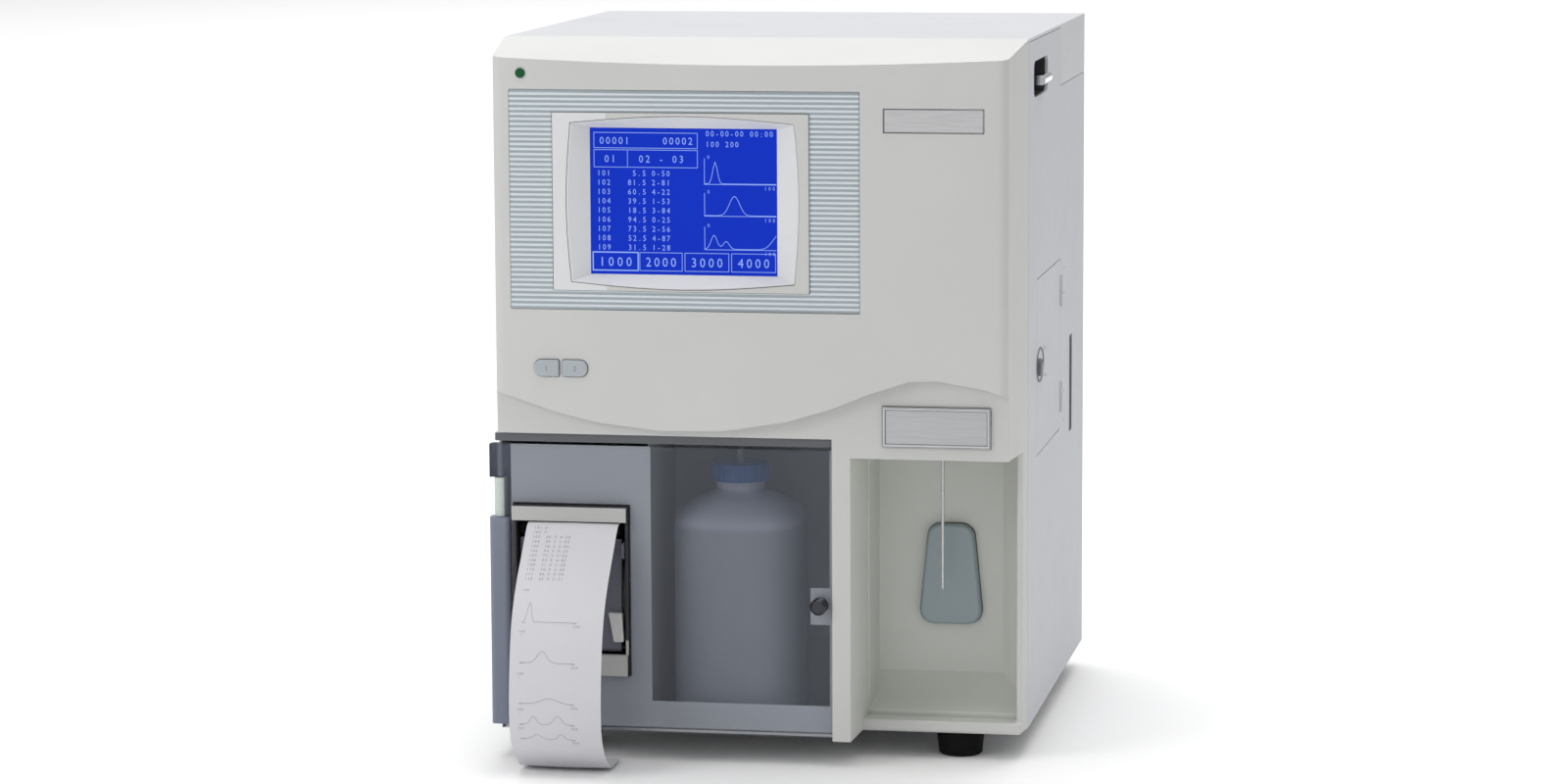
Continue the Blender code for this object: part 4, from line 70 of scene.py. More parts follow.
def in_depths(point):
    """A point of the model's frame, with its depth counted from the fascia's front."""
    return point - Vector((0, FRONT, 0))


def span(node):
    """A node's lowest and highest corners, with depths counted from the fascia's front."""
    low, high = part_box(node)
    return in_depths(low), in_depths(high)


def linked(name, data):
    """A new object in the scene."""
    obj = bpy.data.objects.new(name, data)
    bpy.context.scene.collection.objects.link(obj)
    return obj


# Camera, solved from the photograph's edges

CAMERA_PLACE = (0.5094, -2.7055, 0.6104)
CAMERA_YAW = 0.1781
CAMERA_PITCH = 0.1355
CAMERA_ROLL = -0.0043
CAMERA_LENS = 104.15


def make_camera():
    """Camera at the photograph's viewing angle."""
    data = bpy.data.cameras.new("camera")
    data.lens = CAMERA_LENS
    camera = linked("camera", data)
    angles = (CAMERA_YAW, CAMERA_PITCH, CAMERA_ROLL)
    sin_yaw, sin_pitch, sin_roll = (math.sin(angle) for angle in angles)
    cos_yaw, cos_pitch, cos_roll = (math.cos(angle) for angle in angles)
    ahead = Vector((-sin_yaw * cos_pitch, cos_yaw * cos_pitch, -sin_pitch))
    level = Vector((cos_yaw, sin_yaw, 0))
    above = level.cross(ahead)
    right = level * cos_roll + above * sin_roll
    up = above * cos_roll - level * sin_roll
    turn = Matrix((right, up, -ahead)).transposed().to_4x4()
    camera.matrix_world = Matrix.Translation(at(*CAMERA_PLACE)) @ turn
    bpy.context.scene.camera = camera


# Light and floor. A light has its place, its target, its size and its power in watts

WORLD_LEVEL = 0.54
WORLD_LEAN = (-0.10, -0.14, 0.06)
LIGHTS = (
    ("overhead_light", (0.0, 0.1, 2.45), (0.0, 0.1, 0.0), 2.4, 40),
    ("left_light", (-0.85, -0.95, 0.75), (0.0, 0.0, 0.2), 0.5, 3),
    ("backdrop_light", (0.0, 6.5, 4.5), (0.0, 6.5, 0.0), 9.0, 300),
)
FLOOR_SIZE = 80.0
FLOOR_DROP = 0.2 * MM
FLOOR_COLOUR = (0.95, 0.95, 0.95)


def area_light(name, place, target, size, power):
    data = bpy.data.lights.new(name, "AREA")
    data.energy = power
    data.size = size
    light = linked(name, data)
    light.location = place
    light.rotation_mode = "QUATERNION"
    light.rotation_quaternion = (Vector(target) - Vector(place)).to_track_quat("-Z", "Y")


def make_world():
    """Even surroundings, a little brighter at the left and above."""
    world = bpy.data.worlds.new("studio")
    world.use_nodes = True
    tree = world.node_tree
    direction = tree.nodes.new("ShaderNodeTexCoord").outputs["Generated"]
    lean = tree.nodes.new("ShaderNodeVectorMath")
    lean.operation = "DOT_PRODUCT"
    lean.inputs[1].default_value = WORLD_LEAN
    tree.links.new(direction, lean.inputs[0])
    level = tree.nodes.new("ShaderNodeMath")
    level.operation = "ADD"
    level.inputs[1].default_value = WORLD_LEVEL
    tree.links.new(lean.outputs["Value"], level.inputs[0])
    background = tree.nodes["Background"]
    background.inputs["Color"].default_value = (1, 1, 1, 1)
    tree.links.new(level.outputs["Value"], background.inputs["Strength"])
    bpy.context.scene.world = world


def make_studio():
    """Pale surroundings, soft lights and a pale floor."""
    bpy.context.scene.view_settings.view_transform = "Standard"
    make_world()
    for light in LIGHTS:
        area_light(*light)
    bm = bmesh.new()
    bmesh.ops.create_grid(bm, x_segments=1, y_segments=1, size=FLOOR_SIZE / 2)
    floor = as_object("floor", bm)
    floor.location.z = -FLOOR_DROP
    floor.data.materials.append(surface("floor", FLOOR_COLOUR, 0.7, grain=0.0, cloud=0.004))


# Materials. Noise scales are counted per metre

GRAIN_SCALE = 1400
PAINT_SCALE = 900
GRAIN_HEIGHT = 0.05 * MM
GRAIN_DETAIL = 3
MOULD_GRAIN = 0.35
RIB_GRAIN = 0.3
CLOUD_SCALE = 9
CLOUD_SHARE = 0.025
CLOUD_STOPS = (0.3, 0.7)
SHEET_CLOUD_SCALE = 18
SHEET_CLOUD_SHARE = 0.06
WEAR_DETAIL = 4
WEAR = (63, (0.88, 1.12))
SHEET_WEAR = (108, (0.8, 1.3))
SCRATCH_SCALE = 60
SCRATCH_DETAIL = 6
SCRATCH_STOPS = ((0.25, 0.82), (0.75, 1.08))
SCRATCH_WEAR_SHARES = (0.7, 1.3)
SCRATCH_BUMP = 0.25
ACROSS_X = (1, 60, 60)
ALONG_Z = (1, 1, 60)
RIB_STOPS = (0.20, 0.30, 0.70, 0.80)
GLOW_STOPS = (0.2, 0.8)
GLOW_BASE_SHARE = 0.1
GLOW_ROUGHNESS = 0.3
GLOW_GLOSS = 0.15
STRIPE_PITCH = 3.1 * MM
BOTTLE_LEVEL = 0.1440
LEVEL_BLUR = 2.0 * MM
LEVEL_WAVE = 0.1


class Finish:
    """A node tree under construction, with short calls for the nodes that every finish shares."""

    def __init__(self, name):
        self.material = bpy.data.materials.new(name)
        self.material.use_nodes = True
        self.tree = self.material.node_tree
        self.shader = self.tree.nodes["Principled BSDF"]
        self.place = self.node("ShaderNodeTexCoord").outputs["Object"]

    def node(self, kind):
        return self.tree.nodes.new(kind)

    def link(self, source, target):
        self.tree.links.new(source, target)

    def sum(self, operation, source, value=0.0):
        made = self.node("ShaderNodeMath")
        made.operation = operation
        self.link(source, made.inputs[0])
        made.inputs[1].default_value = value
        return made.outputs["Value"]

    def noise(self, scale, detail=2.0, along=None):
        made = self.node("ShaderNodeTexNoise")
        made.inputs["Scale"].default_value = scale
        made.inputs["Detail"].default_value = detail
        self.link(along or self.place, made.inputs["Vector"])
        return made.outputs["Fac"]

    def spread(self, source, low, high):
        made = self.node("ShaderNodeMapRange")
        made.inputs["To Min"].default_value = low
        made.inputs["To Max"].default_value = high
        self.link(source, made.inputs["Value"])
        return made.outputs["Result"]

    def ramp(self, source, stops):
        made = self.node("ShaderNodeValToRGB")
        points = made.color_ramp.elements
        while len(points) < len(stops):
            points.new(1)
        for point, (place, colour) in zip(points, stops):
            point.position = place
            point.color = (*colour, 1)
        self.link(source, made.inputs["Fac"])
        return made.outputs["Color"]

    def height(self):
        parts = self.node("ShaderNodeSeparateXYZ")
        self.link(self.place, parts.inputs["Vector"])
        return parts.outputs["Z"]

    def set(self, name, value):
        self.shader.inputs[name].default_value = value

    def colour(self, source, stops, target="Base Color"):
        self.link(self.ramp(source, stops), self.shader.inputs[target])

    def roughness(self, source, roughness, shares):
        """Gloss that changes from place to place, between two shares of the finish's roughness."""
        low, high = shares
        self.link(self.spread(source, roughness * low, roughness * high), self.shader.inputs["Roughness"])

    def worn(self, roughness, wear=WEAR):
        scale, shares = wear
        self.roughness(self.noise(scale, detail=WEAR_DETAIL), roughness, shares)

    def bump(self, height, strength):
        made = self.node("ShaderNodeBump")
        made.inputs["Strength"].default_value = strength
        made.inputs["Distance"].default_value = GRAIN_HEIGHT
        self.link(height, made.inputs["Height"])
        self.link(made.outputs["Normal"], self.shader.inputs["Normal"])

    def grain(self, scale, strength):
        self.bump(self.noise(scale, detail=GRAIN_DETAIL), strength)


def shade(colour, share):
    return tuple(min(1.0, c * share) for c in colour)


def clouded(colour, share):
    """Two stops either side of a colour."""
    low, high = CLOUD_STOPS
    return (low, shade(colour, 1 - share)), (high, shade(colour, 1 + share))


def surface(
    name, colour, roughness, grain=MOULD_GRAIN, scale=GRAIN_SCALE, cloud=CLOUD_SHARE,
    metallic=0.0, coat=0.0, gloss=0.5,
):
    """Moulded plastic or paint: slow colour drift, uneven gloss and a fine grain."""
    finish = Finish(name)
    finish.colour(finish.noise(CLOUD_SCALE), clouded(colour, cloud))
    finish.worn(roughness)
    finish.set("Metallic", metallic)
    finish.set("Coat Weight", coat)
    finish.set("Specular IOR Level", gloss)
    if grain:
        finish.grain(scale, grain)
    return finish.material


def brushed(name, colour, roughness, direction=ALONG_Z):
    """Metal with fine parallel scratches."""
    finish = Finish(name)
    stretched = finish.node("ShaderNodeMapping")
    stretched.inputs["Scale"].default_value = direction
    finish.link(finish.place, stretched.inputs["Vector"])
    lines = finish.noise(SCRATCH_SCALE, detail=SCRATCH_DETAIL, along=stretched.outputs["Vector"])
    finish.colour(lines, [(place, shade(colour, share)) for place, share in SCRATCH_STOPS])
    finish.roughness(lines, roughness, SCRATCH_WEAR_SHARES)
    finish.set("Metallic", 1.0)
    finish.bump(lines, SCRATCH_BUMP)
    return finish.material


def ribs_with_painted_shading(name, shaded_valley, lit_crest, start, roughness):
    """Ribs with painted light and shade: the colour changes with the height, in step with the ribs, lighter
    on the crests and darker in the valleys.
    """
    finish = Finish(name)
    height = finish.sum("DIVIDE", finish.sum("SUBTRACT", finish.height(), start), STRIPE_PITCH)
    step = finish.sum("FRACT", height)
    rise, crest_from, crest_to, fall = RIB_STOPS
    stops = ((0.0, shaded_valley), (rise, shaded_valley), (crest_from, lit_crest), (crest_to, lit_crest), (fall, shaded_valley))
    finish.colour(step, stops)
    finish.worn(roughness)
    finish.grain(GRAIN_SCALE, RIB_GRAIN)
    return finish.material


def glowing(name, colour, strength, rim):
    """A lit display surface, a little uneven from place to place."""
    finish = Finish(name)
    low, high = GLOW_STOPS
    stops = ((low, shade(colour, 1 - rim)), (high, colour))
    finish.colour(finish.noise(SHEET_CLOUD_SCALE), stops, target="Emission Color")
    finish.set("Base Color", (*shade(colour, GLOW_BASE_SHARE), 1))
    finish.set("Emission Strength", strength)
    finish.set("Roughness", GLOW_ROUGHNESS)
    finish.set("Specular IOR Level", GLOW_GLOSS)
    return finish.material


def filled(name, deep, light, alpha, roughness):
    """A clear shell that looks darker up to the level of what it holds."""
    finish = Finish(name)
    above = finish.sum("SUBTRACT", finish.height(), BOTTLE_LEVEL - LEVEL_BLUR)
    share = finish.sum("MULTIPLY", above, 1 / (2 * LEVEL_BLUR))
    wavy = finish.sum("ADD", share)
    finish.link(finish.spread(finish.noise(SHEET_CLOUD_SCALE), -LEVEL_WAVE, LEVEL_WAVE), wavy.node.inputs[1])
    finish.colour(wavy, ((0.0, deep), (1.0, light)))
    finish.worn(roughness, SHEET_WEAR)
    finish.set("Alpha", alpha)
    return finish.material


def see_through(name, colour, alpha, roughness):
    """Clear or smoked plastic: part of what lies behind shows through its tint."""
    finish = Finish(name)
    finish.colour(finish.noise(SHEET_CLOUD_SCALE), clouded(colour, SHEET_CLOUD_SHARE))
    finish.worn(roughness, SHEET_WEAR)
    finish.set("Alpha", alpha)
    return finish.material


# Plain mouldings, each with its colour and its roughness. The lintel's colour is painted shade and the bay's
# is painted light

MOULDINGS = {
    # The bay's colour is the case's colour made lighter: painted light against the shade inside the sample
    # bay
    "case": ((0.525, 0.529, 0.518), 0.5), "bay": ((0.60, 0.61, 0.575), 0.45),
    "compartment": ((0.38, 0.40, 0.42), 0.6), "bezel": ((0.64, 0.645, 0.655), 0.4),
    "dark": ((0.022, 0.022, 0.025), 0.5), "mask": ((0.70, 0.74, 0.82), 0.5),
    "printer": ((0.41, 0.41, 0.40), 0.5), "bar": ((0.17, 0.19, 0.25), 0.5),
    # The lintel's near-black colour is painted shade: the shadow under the fascia's lower edge
    "lintel": ((0.10, 0.105, 0.115), 0.6), "lid": ((0.13, 0.13, 0.16), 0.35),
    "key": ((0.36, 0.395, 0.42), 0.35), "cap": ((0.03, 0.14, 0.42), 0.4),
    "knuckle": ((0.50, 0.56, 0.52), 0.45),
}


def make_finishes():
    """Every finish by the name that the tables below use."""
    low, high = span("stripe_panel")
    first_rib = low.z + (high.z - low.z) % STRIPE_PITCH / 2
    return {
        **{name: surface(f"{name}_moulding", *look) for name, look in MOULDINGS.items()},
        "top": surface("top_paint", (0.485, 0.495, 0.515), 0.45, grain=0.5, scale=PAINT_SCALE),
        "side": surface("side_paint", (0.475, 0.49, 0.515), 0.5, grain=0.5, scale=PAINT_SCALE),
        # The stripe panel's light crests and dark valleys are painted light and shade of its ribs
        "stripe": ribs_with_painted_shading("stripe_painted_rib_shading", (0.33, 0.375, 0.405), (0.60, 0.65, 0.68), first_rib, 0.5),
        "badge": brushed("badge_sheet", (0.60, 0.60, 0.61), 0.45, direction=ACROSS_X),
        "start": surface("start_moulding", (0.25, 0.31, 0.33), 0.3, coat=0.3),
        "rubber": surface("foot_rubber", (0.006, 0.006, 0.006), 0.85, grain=0.8, scale=2200, gloss=0.15),
        "board": surface("board_lacquer", (0.02, 0.15, 0.06), 0.35),
        "paper": surface("thermal_paper", (0.58, 0.58, 0.605), 0.85, grain=0.5, scale=2600, cloud=0.012),
        "print": surface("thermal_print", (0.21, 0.21, 0.24), 0.8, grain=0.0),
        # Dark lines and print; round the badge this line is painted shadow
        "line": surface("print_and_painted_shadow_line", (0.16, 0.17, 0.18), 0.6, grain=0.0),
        "aluminium": brushed("rolled_sheet", (0.58, 0.59, 0.60), 0.4),
        "steel": brushed("ground_steel", (0.62, 0.62, 0.63), 0.25),
        "chrome": surface("polished_chrome", (0.82, 0.82, 0.83), 0.08, grain=0.1, metallic=1.0),
        "knob": surface("knob_plating", (0.05, 0.05, 0.06), 0.2, grain=0.1, metallic=1.0),
        "brass": brushed("turned_brass", (0.60, 0.45, 0.20), 0.3),
        "name": brushed("name_sheet", (0.50, 0.505, 0.52), 0.45, direction=ACROSS_X),
        "lcd": glowing("lcd_blue", (0.0, 0.026, 0.50), 1.0, 0.12),
        "lcd_ink": glowing("lcd_ink", (0.27, 0.40, 0.86), 1.0, 0.05),
        "lamp": glowing("lamp_green", (0.03, 0.30, 0.10), 0.2, 0.3),
        "smoke": see_through("smoked_sheet", (0.10, 0.11, 0.135), 0.27, 0.18),
        "bottle": filled("bottle_shell", (0.43, 0.47, 0.56), (0.60, 0.65, 0.80), 0.90, 0.4),
        "clear": see_through("clear_shell", (0.70, 0.76, 0.78), 0.45, 0.15),
    }


# Meshes

WELD = 0.01 * MM
FLAT_ANGLE = math.radians(0.03)
EDGE_ANGLE = math.radians(28)
# Cosines: of two directions that count as one, and of an edge that runs on past a corner
STRAIGHT = 0.8
RUNS_ON = -0.5
ROOM_SHARE = 0.4
SAMPLE_SHARES = (0.08, 0.5, 0.92)
FLAT_WEIGHT = 100
EDGE_SEGMENTS = 3
FINE_SEGMENTS = 4
MADE_SEGMENTS = 2


def as_object(name, bm, smooth=False):
    mesh = bpy.data.meshes.new(name)
    bm.to_mesh(mesh)
    bm.free()
    if smooth:
        mesh.shade_smooth()
    return linked(name, mesh)


def piece(obj, slot, *finishes, replaces=()):
    """Dresses a finished piece, and lets it move with its node's body."""
    for finish in finishes:
        obj.data.materials.append(FINISHES[finish])
    body = BODY_OF[slot]
    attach(obj, body)
    if replaces:
        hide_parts(*replaces)
    return obj


def merge_flat(bm):
    """Joins neighbouring faces of one plane, unless the joined face would have a hole."""
    for edge in list(bm.edges):
        if not edge.is_valid or len(edge.link_faces) != 2:
            continue
        one, other = edge.link_faces
        if one.normal.angle(other.normal, math.pi) > FLAT_ANGLE:
            continue
        shared = set(one.edges) & set(other.edges)
        touching = set(one.verts) & set(other.verts)
        if len(touching) == len(shared) + 1:
            bmesh.utils.face_join((one, other), True)
    spare = [v for v in bm.verts if len(v.link_edges) == 2 and v.calc_edge_angle(math.pi) < FLAT_ANGLE]
    bmesh.ops.dissolve_verts(bm, verts=spare)


def welded(node):
    """A copy of a node's mesh with its split corners joined and its flat triangles merged."""
    bm = bmesh.new()
    bm.from_mesh(frame["nodes"][node].data)
    bmesh.ops.remove_doubles(bm, verts=bm.verts, dist=WELD)
    bm.normal_update()
    merge_flat(bm)
    return bm


def leaving(edge, vert):
    """An edge as it leaves one of its ends."""
    return edge.other_vert(vert).co - vert.co


def face_width(face, edge, start):
    """How far a face reaches from a point of its edge, measured square to the edge."""
    along = (edge.verts[1].co - edge.verts[0].co).normalized()
    inward = face.normal.cross(along)
    if next(loop for loop in face.loops if loop.edge == edge).vert == edge.verts[1]:
        inward.negate()
    width = math.inf
    for other in face.edges:
        if other == edge:
            continue
        one, two = (vert.co - start for vert in other.verts)
        a, b = one.dot(along), two.dot(along)
        if a * b > 0 or abs(a - b) < WELD:
            continue
        reach = one.lerp(two, a / (a - b)).dot(inward)
        if reach > WELD:
            width = min(width, reach)
    return width


def room_at(edge):
    """How far an edge can be rounded before it meets the next one."""
    room = math.inf
    for vert in edge.verts:
        along = leaving(edge, vert).normalized()
        for other in vert.link_edges:
            reach = leaving(other, vert)
            if other is not edge and abs(along.dot(reach.normalized())) < STRAIGHT:
                room = min(room, reach.length)
    for share in SAMPLE_SHARES:
        start = edge.verts[0].co.lerp(edge.verts[1].co, share)
        room = min([room] + [face_width(face, edge, start) for face in edge.link_faces])
    return room * ROOM_SHARE


def even_out(reaches):
    """Gives the edges that run on into each other the rounding of the narrowest of them."""
    waiting = set(reaches)
    while waiting:
        chain, fresh = set(), {waiting.pop()}
        while fresh:
            edge = fresh.pop()
            chain.add(edge)
            for vert in edge.verts:
                along = leaving(edge, vert).normalized()
                for other in vert.link_edges:
                    if other in waiting and along.dot(leaving(other, vert).normalized()) < RUNS_ON:
                        waiting.discard(other)
                        fresh.add(other)
        narrowest = min(reaches[edge] for edge in chain)
        for edge in chain:
            reaches[edge] = narrowest


def weigh_edges(bm, radius, wider):
    """Gives each sharp edge its own rounding, and returns the widest.

    Of the wider roundings, the last one whose test the edge meets counts.
    """
    weights = bm.edges.layers.float.new("bevel_weight_edge")
    reaches = {}
    for edge in bm.edges:
        if len(edge.link_faces) != 2 or edge.calc_face_angle(0) < EDGE_ANGLE:
            continue
        middle = in_depths((edge.verts[0].co + edge.verts[1].co) / 2)
        want = radius
        for test, reach in wider:
            if test(middle):
                want = reach
        reaches[edge] = min(want, room_at(edge))
    even_out(reaches)
    widest = max(reaches.values(), default=radius)
    for edge, reach in reaches.items():
        edge[weights] = reach / widest
    return widest


def bevelled(obj, width, segments, by_weight):
    """Rounds the edges, and keeps the flat faces' shading flat."""
    bevel = obj.modifiers.new("edges", "BEVEL")
    bevel.width = width
    bevel.segments = segments
    bevel.limit_method = "WEIGHT" if by_weight else "ANGLE"
    bevel.angle_limit = EDGE_ANGLE
    bevel.use_clamp_overlap = not by_weight
    bevel.harden_normals = True
    shading = obj.modifiers.new("shading", "WEIGHTED_NORMAL")
    shading.keep_sharp = True
    shading.weight = FLAT_WEIGHT


def softened(node, radius, finish, segments=EDGE_SEGMENTS, wider=(), faces=(), levels=()):
    """The node's own shape with rounded edges, and other finishes on some of its faces.

    The shape is first divided at some levels, so that a finish can end there.
    """
    bm = welded(node)
    for level in levels:
        parts = list(bm.verts) + list(bm.edges) + list(bm.faces)
        bmesh.ops.bisect_plane(bm, geom=parts, plane_co=(0, 0, level), plane_no=(0, 0, 1))
    for face in bm.faces:
        middle = in_depths(face.calc_center_median())
        for number, (_, test) in enumerate(faces):
            if test(middle, face.normal):
                face.material_index = number + 1
    widest = weigh_edges(bm, radius, wider)
    obj = as_object(f"{node}_finish", bm, smooth=True)
    bevelled(obj, widest, segments, by_weight=True)
    return piece(obj, node, finish, *(other for other, _ in faces), replaces=[node])


def prism(bm, outline, low, high, axis="y"):
    """A solid with the outline as its end faces, given in the machine's own depths."""
    loft(bm, [[placed(axis, u, v, w) for u, v in outline] for w in (low, high)])


def placed(axis, u, v, w):
    """A point from two coordinates across an axis and one along it."""
    return {"x": at(w, u, v), "y": at(u, w, v), "z": at(u, v, w)}[axis]


def rectangle(middle, half_u, half_v):
    """The corners of a rectangle round its middle."""
    u, v = middle
    return [(u + su * half_u, v + sv * half_v) for su, sv in ((-1, -1), (1, -1), (1, 1), (-1, 1))]


def block(bm, low, high):
    outline = ((low[0], low[2]), (high[0], low[2]), (high[0], high[2]), (low[0], high[2]))
    prism(bm, outline, low[1], high[1])


def loft(bm, rings, loop=False):
    """Skins a row of rings, and caps its ends unless it runs back into itself."""
    verts = [[bm.verts.new(point) for point in ring] for ring in rings]
    following = verts[1:] + verts[:1] if loop else verts[1:]
    count = len(rings[0])
    for one, other in zip(verts, following):
        for i in range(count):
            j = (i + 1) % count
            bm.faces.new((one[i], one[j], other[j], other[i]))
    if not loop:
        bm.faces.new(reversed(verts[0]))
        bm.faces.new(verts[-1])


def circle(sides):
    """The corners round a circle of radius one."""
    return [(math.cos(math.tau * i / sides), math.sin(math.tau * i / sides)) for i in range(sides)]


def turned(bm, axis, u, v, profile, sides, loop=False):
    """A solid of revolution from its radii and the places along its axis."""
    rings = [[placed(axis, u + r * c, v + r * s, w) for c, s in circle(sides)] for r, w in profile]
    loft(bm, rings, loop=loop)


def made(name, bm, slot, finish, radius=0.0, replaces=()):
    """Finishes a mesh that was built here."""
    bmesh.ops.recalc_face_normals(bm, faces=bm.faces)
    obj = as_object(name, bm, smooth=True)
    obj.data.set_sharp_from_angle(angle=EDGE_ANGLE)
    if radius:
        bevelled(obj, radius, MADE_SEGMENTS, by_weight=False)
    return piece(obj, slot, finish, replaces=replaces)


def smooth_route(points, steps):
    """A Catmull-Rom curve through a route's own points."""
    route = [Vector(p) for p in points]
    padded = [route[0] * 2 - route[1]] + route + [route[-1] * 2 - route[-2]]
    curve = []
    for p0, p1, p2, p3 in zip(padded, padded[1:], padded[2:], padded[3:]):
        for i in range(steps):
            t = i / steps
            curve.append(
                0.5 * (2 * p1 + (p2 - p0) * t + (2 * p0 - 5 * p1 + 4 * p2 - p3) * t * t
                       + (3 * p1 - p0 - 3 * p2 + p3) * t * t * t)
            )
    curve.append(route[-1])
    return curve


# Flat line work and figures

FIGURE_SHARE = 0.74
FIGURE_STEPS = 2
GLYPHS = {}


def glyph(mark):
    """A mark's flat mesh, one unit high and centred on its cell."""
    if mark not in GLYPHS:
        curve = bpy.data.curves.new("figure", "FONT")
        curve.body = mark
        curve.resolution_u = FIGURE_STEPS
        holder = linked("figure", curve)
        bpy.context.view_layer.update()
        mesh = bpy.data.meshes.new_from_object(holder.evaluated_get(bpy.context.evaluated_depsgraph_get()))
        bpy.data.objects.remove(holder, do_unlink=True)
        bpy.data.curves.remove(curve)
        across = [vert.co.x for vert in mesh.vertices]
        middle = (min(across) + max(across)) / 2
        points = [((vert.co.x - middle) / FIGURE_SHARE, vert.co.y / FIGURE_SHARE) for vert in mesh.vertices]
        GLYPHS[mark] = (points, [tuple(polygon.vertices) for polygon in mesh.polygons])
        bpy.data.meshes.remove(mesh)
    return GLYPHS[mark]


class Drawing:
    """Lines and figures on a sheet of their own, which is then laid on a surface."""

    def __init__(self):
        self.bm = bmesh.new()

    def line(self, points, width):
        for (u0, v0), (u1, v1) in zip(points, points[1:]):
            reach = math.hypot(u1 - u0, v1 - v0) or 1
            au, av = (u1 - u0) / reach * width / 2, (v1 - v0) / reach * width / 2
            corners = (
                (u0 - au + av, v0 - av - au), (u1 + au + av, v1 + av - au),
                (u1 + au - av, v1 + av + au), (u0 - au - av, v0 - av + au),
            )
            self.bm.faces.new([self.bm.verts.new((u, v, 0)) for u, v in corners])

    def frame(self, left, right, low, high, width):
        self.line(((left, low), (right, low), (right, high), (left, high), (left, low)), width)

    def figures(self, text, left, low, height, pitch, share=1.0):
        for number, mark in enumerate(text):
            if mark == " ":
                continue
            points, polygons = glyph(mark)
            verts = [
                self.bm.verts.new((left + (number + 0.5) * pitch + u * height * share, low + v * height, 0))
                for u, v in points
            ]
            for polygon in polygons:
                self.bm.faces.new([verts[i] for i in polygon])

    def lay(self, name, spot, slot, finish):
        """Lays the sheet down: spot turns its two coordinates into a place in the model's frame."""
        for vert in self.bm.verts:
            vert.co = spot(vert.co.x, vert.co.y)
        return piece(as_object(name, self.bm), slot, finish)


# The nodes' own shapes, each with its rounding in millimetres and its finish

SOFT_EDGES = {
    "top_cover": (0.5, "top"), "left_side_panel": (0.4, "side"), "rear_panel": (0.4, "side"),
    "base_plate": (0.3, "aluminium"), "partition_plate": (0.3, "aluminium"),
    "stripe_panel": (0.12, "stripe"), "screen_bezel": (0.7, "bezel"), "lcd_module": (0.4, "aluminium"),
    "badge_plate": (0.25, "badge"), "door_hinge": (0.3, "knuckle"),
    "door_catch": (0.15, "aluminium"), "lever_recess": (0.4, "dark"), "power_inlet": (0.3, "dark"),
    "fan_housing": (0.4, "dark"), "power_supply": (0.8, "aluminium"), "measuring_chamber": (0.4, "clear"),
    "syringe_barrel": (0.3, "clear"), "lift_frame": (0.4, "aluminium"), "guide_rod_left": (0.3, "steel"),
    "guide_rod_right": (0.3, "steel"), "lift_belt": (0.15, "rubber"), "rinse_block": (0.4, "clear"),
    "door_mask": (0.15, "mask"), "key_left": (0.9, "key"), "key_right": (0.9, "key"),
    "start_plate": (2.2, "start"), "probe_carriage": (0.5, "dark"), "drive_pulley": (0.2, "steel"),
    "idler_pulley": (0.2, "steel"), "paper_lid": (0.4, "lid"), "release_lever": (0.3, "lid"),
    "platen_roller": (0.3, "rubber"), "paper_roll": (0.2, "paper"), "side_hatch": (0.3, "side"),
    "hatch_latch": (0.3, "lid"), "power_lever": (0.8, "chrome"), "fan_rotor": (0.3, "dark"),
    "syringe_plunger": (0.3, "steel"), "power_rocker": (0.5, "dark"), "door_knob": (0.4, "knob"),
    "screen_glass": (0.2, "lcd"), "probe_needle": (0.1, "steel"), "bottle_cap": (0.3, "cap"),
    **{f"foot_{end}_{side}": (0.3, "rubber") for end in ("front", "rear") for side in ("left", "right")},
    # The sample bay's liner also takes the bay's lighter colour, painted light against the bay's shade
    "front_cover": (0.8, "case"), "sample_bay_liner": (0.5, "bay"), "smoked_door": (0.4, "smoke"),
    "compartment_liner": (0.5, "compartment"), "printer_frame": (0.5, "printer"),
    "right_side_panel": (0.4, "side"), "main_board": (0.15, "board"), "lift_motor": (0.6, "dark"),
    "status_led": (0.15, "lamp"), "name_plate": (0.3, "badge"),
}

# Where roundings and finishes change on a node

TOP_FROM = 0.43
TOP_DEPTH = 10 * MM
TOP_ROUNDING = 4 * MM
WAVE_LOW, WAVE_HIGH = 0.208, 0.246
WAVE_DEPTH = 3 * MM
WAVE_ROUNDING = 1.6 * MM
BAY_SIDE = 0.06
BAY_RIGHT = 0.162
BAY_BASE = 0.020
BAY_CEILING = 0.2
BAY_FRONT = 10 * MM
BAY_INNER = 40 * MM
BAY_ROUNDING = 2.5 * MM
LINER_BACK = 78 * MM
LINER_ROUNDING = 9 * MM
HINGE_BAR_RIGHT = -0.1536
PRINTER_FACE_BACK = 12.6 * MM
STILE_LEVELS = (0.0760, 0.1510)
RIM = 9 * MM
RIM_DEPTHS = (0.6 * MM, 2.0 * MM)
LINTEL_BACK = 12.5 * MM
LINTEL_BASE = 0.1995
BOARD_BACK = 124.6 * MM
LENS_SHARE = 0.72
FIELD_STEP = 0.5 * MM


def printer_shade(place, _):
    """The frame's side bars and all that lies behind its face."""
    return place.y > PRINTER_FACE_BACK or STILE_LEVELS[0] < place.z < STILE_LEVELS[1]


def bay_painted_light_faces(place, normal):
    """The cover's own walls in the sample bay, which take the bay's lighter colour: painted light against the
    shade inside the bay.
    """
    inside = BAY_SIDE < place.x < BAY_RIGHT and BAY_BASE < place.z < BAY_CEILING and place.y > BAY_FRONT
    return inside and (abs(normal.x) > STRAIGHT or abs(normal.z) > STRAIGHT)


def rim_shade(place, normal):
    """The cover's flat frame round the screen."""
    low, high = span("screen_bezel")
    inside = low.x - RIM < place.x < high.x + RIM and low.z - RIM < place.z < high.z + RIM
    return inside and RIM_DEPTHS[0] < place.y < RIM_DEPTHS[1] and normal.y < -STRAIGHT


